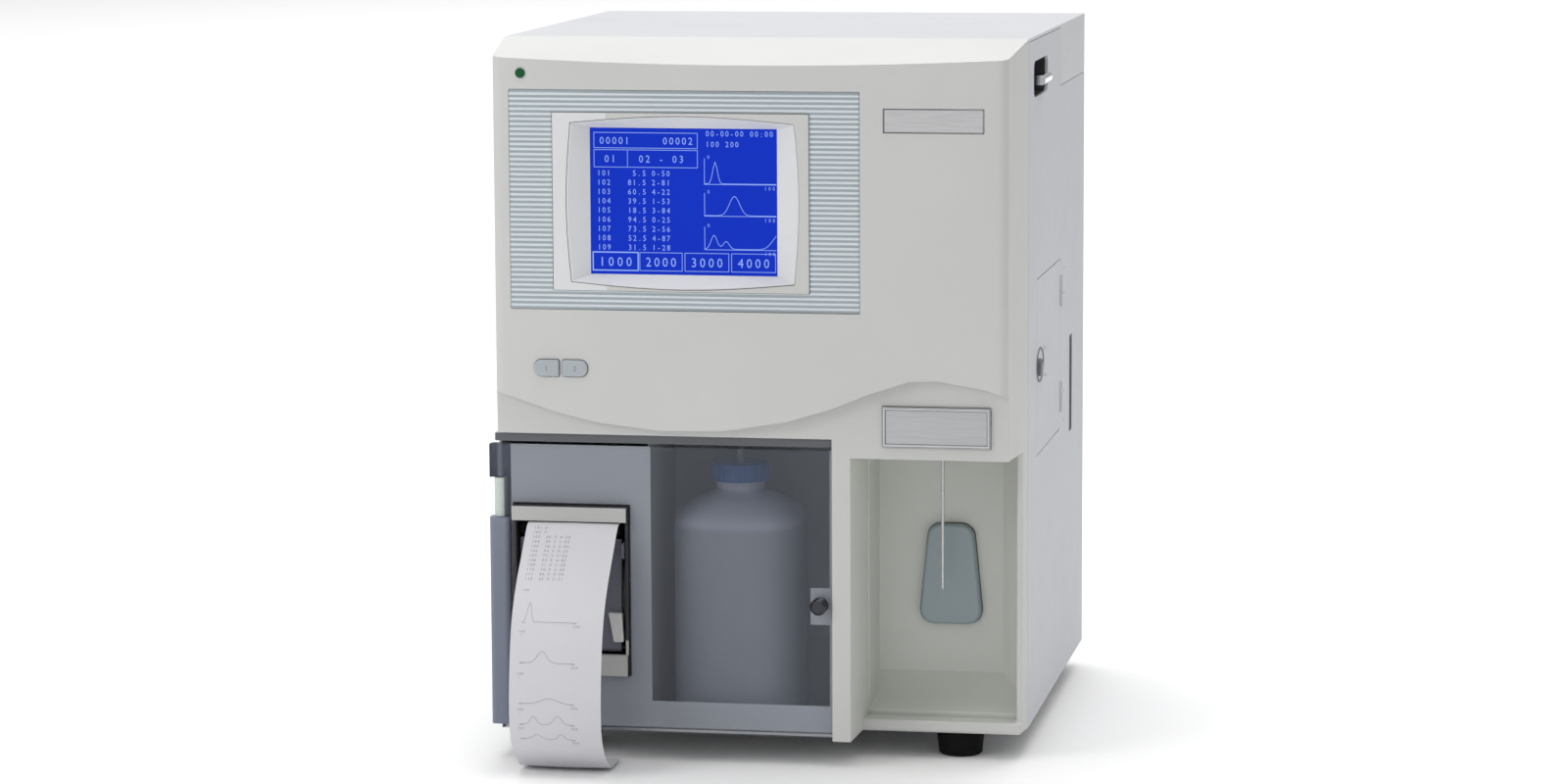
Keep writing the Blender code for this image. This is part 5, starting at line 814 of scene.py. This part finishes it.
def lintel_painted_shade_faces(place, _):
    """The strip of the compartment's liner above the door, painted near black as the shade under the fascia's
    lower edge.
    """
    return place.y < LINTEL_BACK and place.z > LINTEL_BASE


def slot_walls_painted_shade(place, normal):
    """The walls of the side panel's narrow slot, painted dark as shade so that the slot reads black."""
    low, high = SLOT_LEVELS
    beside = abs(place.y - SLOT_PLACE) < SLOT_BACKING and low - SLOT_BACKING < place.z < high + SLOT_BACKING
    return beside and abs(normal.x) < STRAIGHT


def holder_shade(place, _):
    """The lamp's holder round its lens."""
    low, high = span("status_led")
    middle = (low + high) / 2
    return math.hypot(place.x - middle.x, place.z - middle.z) > (high.x - low.x) / 2 * LENS_SHARE


def field_shade(place, normal):
    """The name plate's sunk field."""
    return normal.y < -STRAIGHT and place.y > span("name_plate")[0].y + FIELD_STEP


NODE_DETAILS = {
    "front_cover": {
        "segments": FINE_SEGMENTS,
        "wider": (
            (lambda m: m.z > TOP_FROM and m.y < TOP_DEPTH, TOP_ROUNDING),
            (lambda m: m.y < WAVE_DEPTH and WAVE_LOW < m.z < WAVE_HIGH, WAVE_ROUNDING),
            (lambda m: m.x > BAY_SIDE and m.y > BAY_INNER and m.z < BAY_CEILING, BAY_ROUNDING),
        ),
        "faces": (("bay", bay_painted_light_faces), ("bezel", rim_shade)),
    },
    "sample_bay_liner": {"segments": FINE_SEGMENTS, "wider": ((lambda m: m.y > LINER_BACK, LINER_ROUNDING),)},
    "smoked_door": {"faces": (("bar", lambda m, _: m.x < HINGE_BAR_RIGHT),)},
    "compartment_liner": {"faces": (("lintel", lintel_painted_shade_faces),)},
    "printer_frame": {"faces": (("dark", printer_shade),), "levels": STILE_LEVELS},
    # The slot's walls are painted dark: painted shade inside the slot
    "right_side_panel": {"faces": (("dark", slot_walls_painted_shade),)},
    "main_board": {"faces": (("dark", lambda m, _: m.y > BOARD_BACK),)},
    "lift_motor": {"faces": (("aluminium", lambda _, n: abs(n.y) > STRAIGHT),)},
    "status_led": {"faces": (("dark", holder_shade),)},
    "name_plate": {"faces": (("name", field_shade),)},
}


def dress_nodes():
    """Every node whose own shape is right, with rounded edges and its finish."""
    for node, (radius, finish) in SOFT_EDGES.items():
        softened(node, radius * MM, finish, **NODE_DETAILS.get(node, {}))


# Screen picture: plain numbers and graphs

GLASS_LAP = 1.9 * MM
INK = 0.38 * MM
INK_LIFT = 0.06 * MM
FIGURE_WIDE = 0.92
GRAPH_STEPS = 40
ROW_COUNT = 9
# Shares of the picture, from its top left corner
ROW_START = 0.307
ROW_PITCH = 0.0633
ROW_COLUMNS = (0.032, 0.197, 0.326)
ROW_TEXT = (0.040, 0.0262)
BOXES = ((0.02, 0.575, 0.033, 0.137), (0.02, 0.20, 0.15, 0.268), (0.20, 0.575, 0.15, 0.268))
# Each text with its left end, its middle's level, its height and its pitch
TEXTS = (
    ("00001", 0.045, 0.085, 0.052, 0.034), ("00002", 0.385, 0.085, 0.052, 0.034),
    ("01", 0.070, 0.209, 0.052, 0.036), ("02 - 03", 0.255, 0.209, 0.052, 0.036),
    ("00-00-00 00:00", 0.616, 0.033, *ROW_TEXT), ("100 200", 0.616, 0.105, *ROW_TEXT),
)
GRAPH_SIDES = (0.612, 0.993)
# Each graph's levels, and the place, width and height of its curve's peaks
GRAPHS = (
    ((0.205, 0.379), ((0.15, 0.045, 0.85),)),
    ((0.440, 0.595), ((0.42, 0.10, 0.85),)),
    ((0.670, 0.824), ((0.13, 0.06, 0.62), (0.30, 0.06, 0.35), (1.06, 0.14, 0.72))),
)
SCALE_TEXT = (0.026, 0.022)
SCALE_START = (0.01, -0.012)
SCALE_END = (-0.066, 0.024)
BUTTONS = ((0.010, 0.253), (0.262, 0.490), (0.505, 0.740), (0.755, 0.990))
BUTTON_LEVELS = (0.850, 0.974)
BUTTON_MARGIN = 0.025
BUTTON_FIGURE = 0.066


def reading(row):
    """Made-up numbers for a row: its own number, a value and a range."""
    value = (row * 173 + 102) % 97 + 0.5
    return f"{row + 101}", f"{value:4.1f}", f"{row * 7 % 5}-{(row * 31 + 40) % 90 + 10}"


def hump(place, peaks):
    """Height of a graph's curve as a share of the graph."""
    return sum(height * math.exp(-(((place - middle) / wide) ** 2)) for middle, wide, height in peaks)


def draw_graph(sheet, left, wide, base, top, peaks, ink, lift, reach):
    """Two axes, and a curve that starts a lift above them and takes up a share of their height."""
    sheet.line(((left, top), (left, base), (left + wide, base)), ink)
    shares = [i / GRAPH_STEPS for i in range(GRAPH_STEPS + 1)]
    tall = (top - base) * reach
    sheet.line([(left + wide * u, base + lift + tall * min(1.0, hump(u, peaks))) for u in shares], ink)


def draw_screen():
    low, high = span("screen_glass")
    left, right = low.x + GLASS_LAP, high.x - GLASS_LAP
    base, top = low.z + GLASS_LAP, high.z - GLASS_LAP
    wide, tall = right - left, top - base
    sheet = Drawing()

    def boxed(u0, u1, v0, v1, width=INK):
        sheet.frame(left + wide * u0, left + wide * u1, top - tall * v1, top - tall * v0, width)

    def write(text, u, v, height, pitch):
        text_base = top - tall * (v + height / 2)
        sheet.figures(text, left + wide * u, text_base, tall * height, wide * pitch, FIGURE_WIDE)

    for box in BOXES:
        boxed(*box)
    for text in TEXTS:
        write(*text)
    for row in range(ROW_COUNT):
        for number, column in zip(reading(row), ROW_COLUMNS):
            write(number, column, ROW_START + row * ROW_PITCH, *ROW_TEXT)
    u0, u1 = GRAPH_SIDES
    graph_left, graph_wide = left + wide * u0, wide * (u1 - u0)
    for (v0, v1), peaks in GRAPHS:
        draw_graph(sheet, graph_left, graph_wide, top - tall * v1, top - tall * v0, peaks, INK, INK, 1.0)
        write("0", u0 + SCALE_START[0], v0 + SCALE_START[1], *SCALE_TEXT)
        write("100", u1 + SCALE_END[0], v1 + SCALE_END[1], *SCALE_TEXT)
    for number, (u0, u1) in enumerate(BUTTONS, 1):
        boxed(u0, u1, *BUTTON_LEVELS, width=INK if number > 1 else 2 * INK)
        figures = f"{number * 1000}"
        pitch = (u1 - u0 - 2 * BUTTON_MARGIN) / len(figures)
        write(figures, u0 + BUTTON_MARGIN, sum(BUTTON_LEVELS) / 2, BUTTON_FIGURE, pitch)
    depth = low.y - INK_LIFT
    sheet.lay("screen_picture", lambda u, v: at(u, depth, v), "screen_glass", "lcd_ink")


# Plates, keys and the printer's catch

OUTLINE_WIDTH = 0.35 * MM
FIELD_SINK = 0.9 * MM
NAME_LINE_INSET = 2.1 * MM
NAME_EDGE_INSET = 0.5 * MM
KEY_FIGURE = 3.2 * MM


def draw_frame(name, node, inset, sunk=0.0):
    """A thin dark line round a plate, on its front or on a field sunk into it. Round the badge it is painted
    shadow, standing in for the shade round the plate's seat.
    """
    low, high = span(node)
    depth = low.y + sunk - INK_LIFT
    sheet = Drawing()
    sheet.frame(low.x + inset, high.x - inset, low.z + inset, high.z - inset, OUTLINE_WIDTH)
    sheet.lay(name, lambda u, v: at(u, depth, v), node, "line")


def draw_key_figure(node, figure):
    low, high = span(node)
    middle = (low + high) / 2
    depth = low.y - INK_LIFT
    sheet = Drawing()
    sheet.figures(figure, middle.x - KEY_FIGURE / 2, middle.z - KEY_FIGURE / 2, KEY_FIGURE, KEY_FIGURE)
    sheet.lay(f"{node}_figure", lambda u, v: at(u, depth, v), node, "line")


def dress_plates():
    # The badge's dark outline is painted shadow of the plate's seat
    draw_frame("badge_painted_shadow_line", "badge_plate", OUTLINE_WIDTH)
    draw_frame("name_line", "name_plate", NAME_LINE_INSET, sunk=FIELD_SINK)
    draw_frame("name_edge", "name_plate", NAME_EDGE_INSET)
    draw_key_figure("key_left", "1")
    draw_key_figure("key_right", "2")


LID_CATCH = ((-91.2, 93.2), (-82.8, 92.9), (-81.7, 74.9), (-87.9, 74.7))
LID_CATCH_DEPTHS = (10.2 * MM, 15.0 * MM)
LID_CATCH_ROUNDING = 0.5 * MM


def lid_catch():
    bm = bmesh.new()
    prism(bm, [(u * MM, v * MM) for u, v in LID_CATCH], *LID_CATCH_DEPTHS)
    made("lid_catch", bm, "paper_lid", "case", radius=LID_CATCH_ROUNDING)


# Paper strip, after the solid's own route: depths from the fascia and levels from the printer's mouth

PAPER_X = -0.1118
PAPER_HALF = 28.75 * MM
PAPER_THICK = 0.3 * MM
PAPER_LEVEL = 0.1499
PAPER_ROUTE = (
    (18.5, 0.0), (6.0, 0.0), (0.0, -3.5), (-9.5, -13.0), (-30.0, -34.5), (-43.0, -56.5), (-50.0, -88.0),
    (-50.8, -116.5), (-43.0, -134.0), (-30.0, -144.0), (-20.0, -148.7), (6.0, -148.7),
)
PAPER_STEPS = 10
PAPER_ACROSS = 8
PAPER_REST = 1.2 * MM
PAPER_LOWEST = 0.3 * MM
PAPER_CUP = 0.7 * MM
PAPER_CUP_FROM = 40 * MM
PRINT_INK = 0.22 * MM
PRINT_LEFT = -24 * MM
PRINT_ROWS = 12
PRINT_SHORT_ROWS = 2
PRINT_START = 17.0 * MM
PRINT_PITCH = 3.5 * MM
PRINT_HEIGHT = 2.0 * MM
PRINT_CHARACTER = 1.75 * MM
# Each printed graph's distance along the paper and its height, and its curve's peaks
PRINT_GRAPHS = (
    (66.0, 20.0, ((0.12, 0.05, 0.8),)),
    (93.0, 18.0, ((0.40, 0.12, 0.5),)),
    (119.0, 17.0, ((0.55, 0.20, 0.25),)),
    (141.0, 8.0, ((0.25, 0.08, 0.8), (0.70, 0.10, 0.9))),
    (153.0, 6.0, ((0.30, 0.10, 0.7), (0.75, 0.08, 0.8))),
)
PRINT_INSET = 2 * MM
PRINT_WIDE = 34 * MM
PRINT_CURVE = 0.8
PRINT_SCALE_TEXT = (1.6 * MM, 1.5 * MM)
PRINT_SCALE_RISE = 0.8 * MM
PRINT_SCALE_DROP = 2.6 * MM


class Strip:
    """The paper's path, read by the distance along it."""

    def __init__(self):
        points = [(0, y * MM, max(PAPER_LEVEL + z * MM, PAPER_REST)) for y, z in PAPER_ROUTE]
        self.route = [Vector((0, p.y, max(p.z, PAPER_REST))) for p in smooth_route(points, PAPER_STEPS)]
        self.marks = [0.0]
        for one, other in zip(self.route, self.route[1:]):
            self.marks.append(self.marks[-1] + (other - one).length)

    def place(self, across, along, lift=0.0):
        along = min(max(along, 0.0), self.marks[-1])
        i = 0
        while i < len(self.marks) - 2 and self.marks[i + 1] < along:
            i += 1
        share = (along - self.marks[i]) / (self.marks[i + 1] - self.marks[i])
        point = self.route[i].lerp(self.route[i + 1], share)
        ahead = (self.route[i + 1] - self.route[i]).normalized()
        outward = Vector((0, ahead.z, -ahead.y))
        cup = PAPER_CUP * min(1.0, along / PAPER_CUP_FROM) * (across / PAPER_HALF) ** 2
        point = point + outward * (lift - cup)
        return at(PAPER_X + across, point.y, max(point.z, PAPER_LOWEST))


def paper_sheet(strip):
    bm = bmesh.new()
    across = [PAPER_HALF * (2 * i / PAPER_ACROSS - 1) for i in range(PAPER_ACROSS + 1)]
    half = PAPER_THICK / 2
    ring = [(u, half) for u in across] + [(u, -half) for u in reversed(across)]
    loft(bm, [[strip.place(u, mark, lift) for u, lift in ring] for mark in strip.marks])
    return made("paper_strip_sheet", bm, "paper_strip", "paper", replaces=["paper_strip"])


def paper_print(strip):
    """Rows of plain numbers, with graphs below them."""
    sheet = Drawing()
    for row in range(PRINT_ROWS):
        number, value, limits = reading(row)
        text = f"{number} {row * 7 % 9}" if row < PRINT_SHORT_ROWS else f"{number}  {value} {limits}"
        base = -(PRINT_START + row * PRINT_PITCH) - PRINT_HEIGHT
        sheet.figures(text, PRINT_LEFT, base, PRINT_HEIGHT, PRINT_CHARACTER)
    left, wide = PRINT_LEFT + PRINT_INSET, PRINT_WIDE
    right = left + wide - PRINT_INSET
    for start, tall, peaks in PRINT_GRAPHS:
        top, base = -start * MM, -(start + tall) * MM
        draw_graph(sheet, left, wide, base, top, peaks, PRINT_INK, 2 * PRINT_INK, PRINT_CURVE)
        sheet.figures("100", PRINT_LEFT, top + PRINT_SCALE_RISE, *PRINT_SCALE_TEXT)
        sheet.figures("250", right, base - PRINT_SCALE_DROP, *PRINT_SCALE_TEXT)
    lift = PAPER_THICK / 2 + INK_LIFT
    return sheet.lay("paper_print", lambda u, v: strip.place(u, -v, lift), "paper_strip", "print")


def dress_paper():
    strip = Strip()
    for obj in (paper_sheet(strip), paper_print(strip)):
        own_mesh(obj)


# Bottle, its cap's ribs and its suction tube

BOTTLE_SIDES = 64
BOTTLE_STEPS = 4
BOTTLE_WALL = 1.4 * MM
# Radius, height and the exponent of the outline, which is 2 for a circle and higher for a squarer form
BOTTLE_PROFILE = (
    (36.0, 0.0, 3.2), (40.0, 4.0, 3.2), (40.0, 24.0, 3.2), (40.0, 102.0, 3.2), (40.0, 122.0, 3.2),
    (37.2, 129.9, 3.2), (27.2, 138.2, 2.4), (15.5, 142.9, 2.0), (15.5, 148.0, 2.0), (15.5, 158.0, 2.0),
)
CAP_RIBS = 36
CAP_RIB = 0.5 * MM
CAP_RIB_SIDES = 6
CAP_RIB_STOP = 2 * MM
TUBE_RADIUS = 2.2 * MM
TUBE_WALL_DEPTH = 0.1099
TUBE_DIP = 12 * MM
TUBE_RISE = 11 * MM
# From the cap to the wall: the share of the way, and of the rise
TUBE_SHARES = ((0.0, 0.0), (0.0, 0.35), (0.12, 0.72), (0.42, 1.0), (0.72, 0.98), (1.0, 0.9))
TUBE_STEPS = 6
TUBE_ROUND_STEPS = 4


def bottle_ring(middle, radius, level, squareness):
    ring = []
    for c, s in circle(BOTTLE_SIDES):
        reach = radius / (abs(c) ** squareness + abs(s) ** squareness) ** (1 / squareness)
        ring.append(at(middle.x + reach * c, middle.y + reach * s, level))
    return ring


def bottle_shell():
    low, high = span("reagent_bottle")
    middle = (low + high) / 2
    outer = smooth_route([(r * MM, z * MM, form) for r, z, form in BOTTLE_PROFILE], BOTTLE_STEPS)
    inner = [Vector((p.x - BOTTLE_WALL, max(p.y, BOTTLE_WALL), p.z)) for p in reversed(outer)]
    bm = bmesh.new()
    loft(bm, [bottle_ring(middle, p.x, low.z + p.y, p.z) for p in outer + inner])
    made("bottle_shell", bm, "reagent_bottle", "bottle", replaces=["reagent_bottle"])


def cap_ribs():
    low, high = span("bottle_cap")
    middle = (low + high) / 2
    reach = (high.x - low.x) / 2
    profile = ((CAP_RIB, low.z + CAP_RIB), (CAP_RIB, high.z - CAP_RIB_STOP))
    bm = bmesh.new()
    for c, s in circle(CAP_RIBS):
        turned(bm, "z", middle.x + reach * c, middle.y + reach * s, profile, CAP_RIB_SIDES)
    made("cap_ribs", bm, "bottle_cap", "cap")


def suction_tube():
    """From the compartment's wall over the cap and down into the bottle."""
    low, high = span("bottle_cap")
    middle = (low + high) / 2
    floor, top = span("reagent_bottle")[0].z, high.z
    way = TUBE_WALL_DEPTH - middle.y
    points = [at(middle.x, middle.y, floor + TUBE_DIP), at(middle.x, middle.y, (floor + top) / 2)]
    points += [at(middle.x, middle.y + way * a, top + TUBE_RISE * b) for a, b in TUBE_SHARES]
    route = list(reversed(smooth_route(points, TUBE_STEPS)))
    curve = bpy.data.curves.new("suction_tube", "CURVE")
    curve.dimensions = "3D"
    curve.bevel_depth = TUBE_RADIUS
    curve.bevel_resolution = TUBE_ROUND_STEPS
    curve.use_fill_caps = True
    spline = curve.splines.new("POLY")
    spline.points.add(len(route) - 1)
    for point, spot in zip(spline.points, route):
        point.co = (*spot, 1)
    spline.use_smooth = True
    tube = linked("suction_tube", curve)
    piece(tube, "bottle_tube", "clear", replaces=["bottle_tube"])


# Small fasteners and fittings on the case

SCREW_RADIUS = 2.4 * MM
SCREW_RISE = 0.9 * MM
SCREW_SIDES = 20
# The head from its rim to its top, and the cross on it, as shares of radius and rise
SCREW_DOME = ((1.0, 0.0), (1.0, 0.4), (0.8, 0.85), (0.3, 1.0))
CROSS_HALVES = ((0.55, 0.1), (0.1, 0.55))
CROSS_LEVELS = (0.6, 1.06)


def screws(name, axis, places, wall, slot, radius=SCREW_RADIUS):
    """Domed screw heads with a cross cut, on a wall that faces along one axis."""
    rise = SCREW_RISE * radius / SCREW_RADIUS
    profile = [(radius * r, wall + rise * w) for r, w in SCREW_DOME]
    low, high = (wall + rise * w for w in CROSS_LEVELS)
    heads, cuts = bmesh.new(), bmesh.new()
    for place in places:
        turned(heads, axis, *place, profile, SCREW_SIDES)
        for long, short in CROSS_HALVES:
            prism(cuts, rectangle(place, long * radius, short * radius), low, high, axis)
    made(f"{name}_heads", heads, slot, "steel")
    made(f"{name}_crosses", cuts, slot, "dark")


SIDE_WALL = 0.165
SIDE_SHEET = 2.4 * MM
RIVET_DEPTH = 0.250
RIVET_LEVELS = (0.287, 0.270, 0.205, 0.186)
RIVET_PROFILE = ((1.7, 0.0), (1.4, 0.4), (0.6, 0.7))
RIVET_SIDES = 16
LATCH_SCREWS = ((0.1453, 0.2471), (0.1484, 0.2291), (0.1100, 0.2298))
LATCH_SCREW_RADIUS = 1.5 * MM
LATCH_PLACE = (0.1204, 0.2397)
OVAL_HALVES = (17.5 * MM, 11.0 * MM)
OVAL_RIM = 1.1 * MM
OVAL_RISE = 0.6 * MM
OVAL_SIDES = 40
SLOT_PLACE = 0.2890
SLOT_LEVELS = (0.1755, 0.2367)
SLOT_HALF = 1.5 * MM
SLOT_EDGING = 4.5 * MM
EDGING_ENDS = 1.5 * MM
SLOT_RISE = 0.3 * MM
SLOT_BACKING = 6 * MM
BACKING_THICK = 1.5 * MM
BACKING_ROUNDING = 0.4 * MM


def collar(name, outer, inner, rise, slot, finish):
    """A flat ring on the side wall, between two outlines."""
    levels = ((outer, 0), (outer, rise), (inner, rise), (inner, 0))
    bm = bmesh.new()
    loft(bm, [[at(SIDE_WALL + height, y, z) for y, z in outline] for outline, height in levels], loop=True)
    made(name, bm, slot, finish)


def oval(rim):
    """The escutcheon's outline, a rim's width inside its edge."""
    u, v = LATCH_PLACE
    half_u, half_v = (half - rim for half in OVAL_HALVES)
    return [(u + half_u * c, v + half_v * s) for c, s in circle(OVAL_SIDES)]


def dress_slot():
    """A dark backing behind the side's slot, painted shade that makes the slot read black, and an edging
    round it.
    """
    low, high = SLOT_LEVELS
    middle, half = (SLOT_PLACE, (low + high) / 2), (high - low) / 2
    inside = SIDE_WALL - SIDE_SHEET
    bm = bmesh.new()
    prism(bm, rectangle(middle, SLOT_BACKING, half + SLOT_BACKING), inside - BACKING_THICK, inside, "x")
    made("slot_painted_shade_backing", bm, "right_side_panel", "dark", radius=BACKING_ROUNDING)
    outer = rectangle(middle, SLOT_HALF + SLOT_EDGING, half + EDGING_ENDS)
    inner = rectangle(middle, SLOT_HALF, half)
    collar("slot_edging", outer, inner, SLOT_RISE, "right_side_panel", "dark")


def dress_side():
    profile = [(r * MM, SIDE_WALL + rise * MM) for r, rise in RIVET_PROFILE]
    bm = bmesh.new()
    for level in RIVET_LEVELS:
        turned(bm, "x", RIVET_DEPTH, level, profile, RIVET_SIDES)
    made("side_rivets", bm, "right_side_panel", "aluminium")
    screws("latch_screws", "x", LATCH_SCREWS, SIDE_WALL, "side_hatch", radius=LATCH_SCREW_RADIUS)
    collar("latch_escutcheon", oval(0), oval(OVAL_RIM), OVAL_RISE, "side_hatch", "line")
    dress_slot()


REAR_WALL = 0.365
REAR_SCREWS = tuple((side * 0.155, level) for side in (-1, 1) for level in (0.030, 0.155, 0.280, 0.395))
FAN_MIDDLE = (-0.085, 0.330)
FAN_REACH = 35.5 * MM
BRASS_ROUNDING = 0.3 * MM
PORT_MIDDLE = 0.060
PORT_PITCH = 22 * MM
PORT_LEVEL = 0.090
PORT_COUNT = 4
PORT_BORE = 5.3 * MM
PORT_NUT = 8.5 * MM
PORT_NUT_SIDES = 6
PORT_NUT_RISES = (0.1 * MM, 3 * MM)
PORT_FIGURE = 6 * MM
PORT_FIGURE_LEVEL = PORT_LEVEL + 13 * MM
INLET_MIDDLE = (-0.120, 0.062)
PIN_PLACES = ((-7, -1.5), (0, 2.5), (7, -1.5))
PIN_HALVES = (1 * MM, 2 * MM)
PIN_SINKS = (11 * MM, 0.5 * MM)


def dress_ports():
    """A brass nut and a plain number at each port."""
    low, high = (REAR_WALL + rise for rise in PORT_NUT_RISES)
    profile = ((PORT_BORE, low), (PORT_NUT, low), (PORT_NUT, high), (PORT_BORE, high))
    nuts = bmesh.new()
    sheet = Drawing()
    for i in range(PORT_COUNT):
        x = PORT_MIDDLE + PORT_PITCH * (i - (PORT_COUNT - 1) / 2)
        turned(nuts, "y", x, PORT_LEVEL, profile, PORT_NUT_SIDES, loop=True)
        sheet.figures(f"{i + 1}", -x - PORT_FIGURE / 2, PORT_FIGURE_LEVEL, PORT_FIGURE, PORT_FIGURE)
    made("port_nuts", nuts, "rear_panel", "brass", radius=BRASS_ROUNDING)
    sheet.lay("port_figures", lambda a, b: at(-a, REAR_WALL + INK_LIFT, b), "rear_panel", "line")


def dress_rear():
    screws("rear_screws", "y", REAR_SCREWS, REAR_WALL, "rear_panel")
    screws("fan_screws", "y", rectangle(FAN_MIDDLE, FAN_REACH, FAN_REACH), REAR_WALL, "rear_panel")
    dress_ports()
    back, front = (REAR_WALL - sink for sink in PIN_SINKS)
    pins = bmesh.new()
    u, v = INLET_MIDDLE
    for x, z in PIN_PLACES:
        prism(pins, rectangle((u + x * MM, v + z * MM), *PIN_HALVES), back, front)
    made("inlet_pins", pins, "power_inlet", "brass", radius=BRASS_ROUNDING)


LOUVRES = 14
LOUVRE_SHARE = 0.2
LOUVRE_MARGIN = 15 * MM
LOUVRE_SINK = 0.5 * MM
LOUVRE_RISE = 1.2 * MM
LOUVRE_ROUNDING = 0.5 * MM
MOTOR_PLATES = (0.3, 0.42, 0.54, 0.66)
PLATE_THICK = 1 * MM
PLATE_RISE = 0.2 * MM
PLATE_MARGIN = 5 * MM


def supply_louvres():
    low, high = span("power_supply")
    left, right = low.x + LOUVRE_MARGIN, high.x - LOUVRE_MARGIN
    pitch = (high.y - low.y) / (LOUVRES + 1)
    half = pitch * LOUVRE_SHARE
    bm = bmesh.new()
    for i in range(LOUVRES):
        y = low.y + pitch * (i + 1)
        block(bm, (left, y - half, high.z - LOUVRE_SINK), (right, y + half, high.z + LOUVRE_RISE))
    made("supply_louvres", bm, "power_supply", "aluminium", radius=LOUVRE_ROUNDING)


def motor_plates():
    low, high = span("lift_motor")
    left, right = low.x - PLATE_RISE, high.x + PLATE_RISE
    bm = bmesh.new()
    for share in MOTOR_PLATES:
        y = low.y + (high.y - low.y) * share
        block(bm, (left, y, low.z + PLATE_MARGIN), (right, y + PLATE_THICK, high.z - PLATE_MARGIN))
    made("motor_plates", bm, "lift_motor", "steel")


def main():
    make_camera()
    make_studio()
    bottle_shell()
    cap_ribs()
    suction_tube()
    dress_nodes()
    draw_screen()
    dress_plates()
    lid_catch()
    dress_paper()
    dress_side()
    dress_rear()
    supply_louvres()
    motor_plates()


FINISHES = make_finishes()
main()
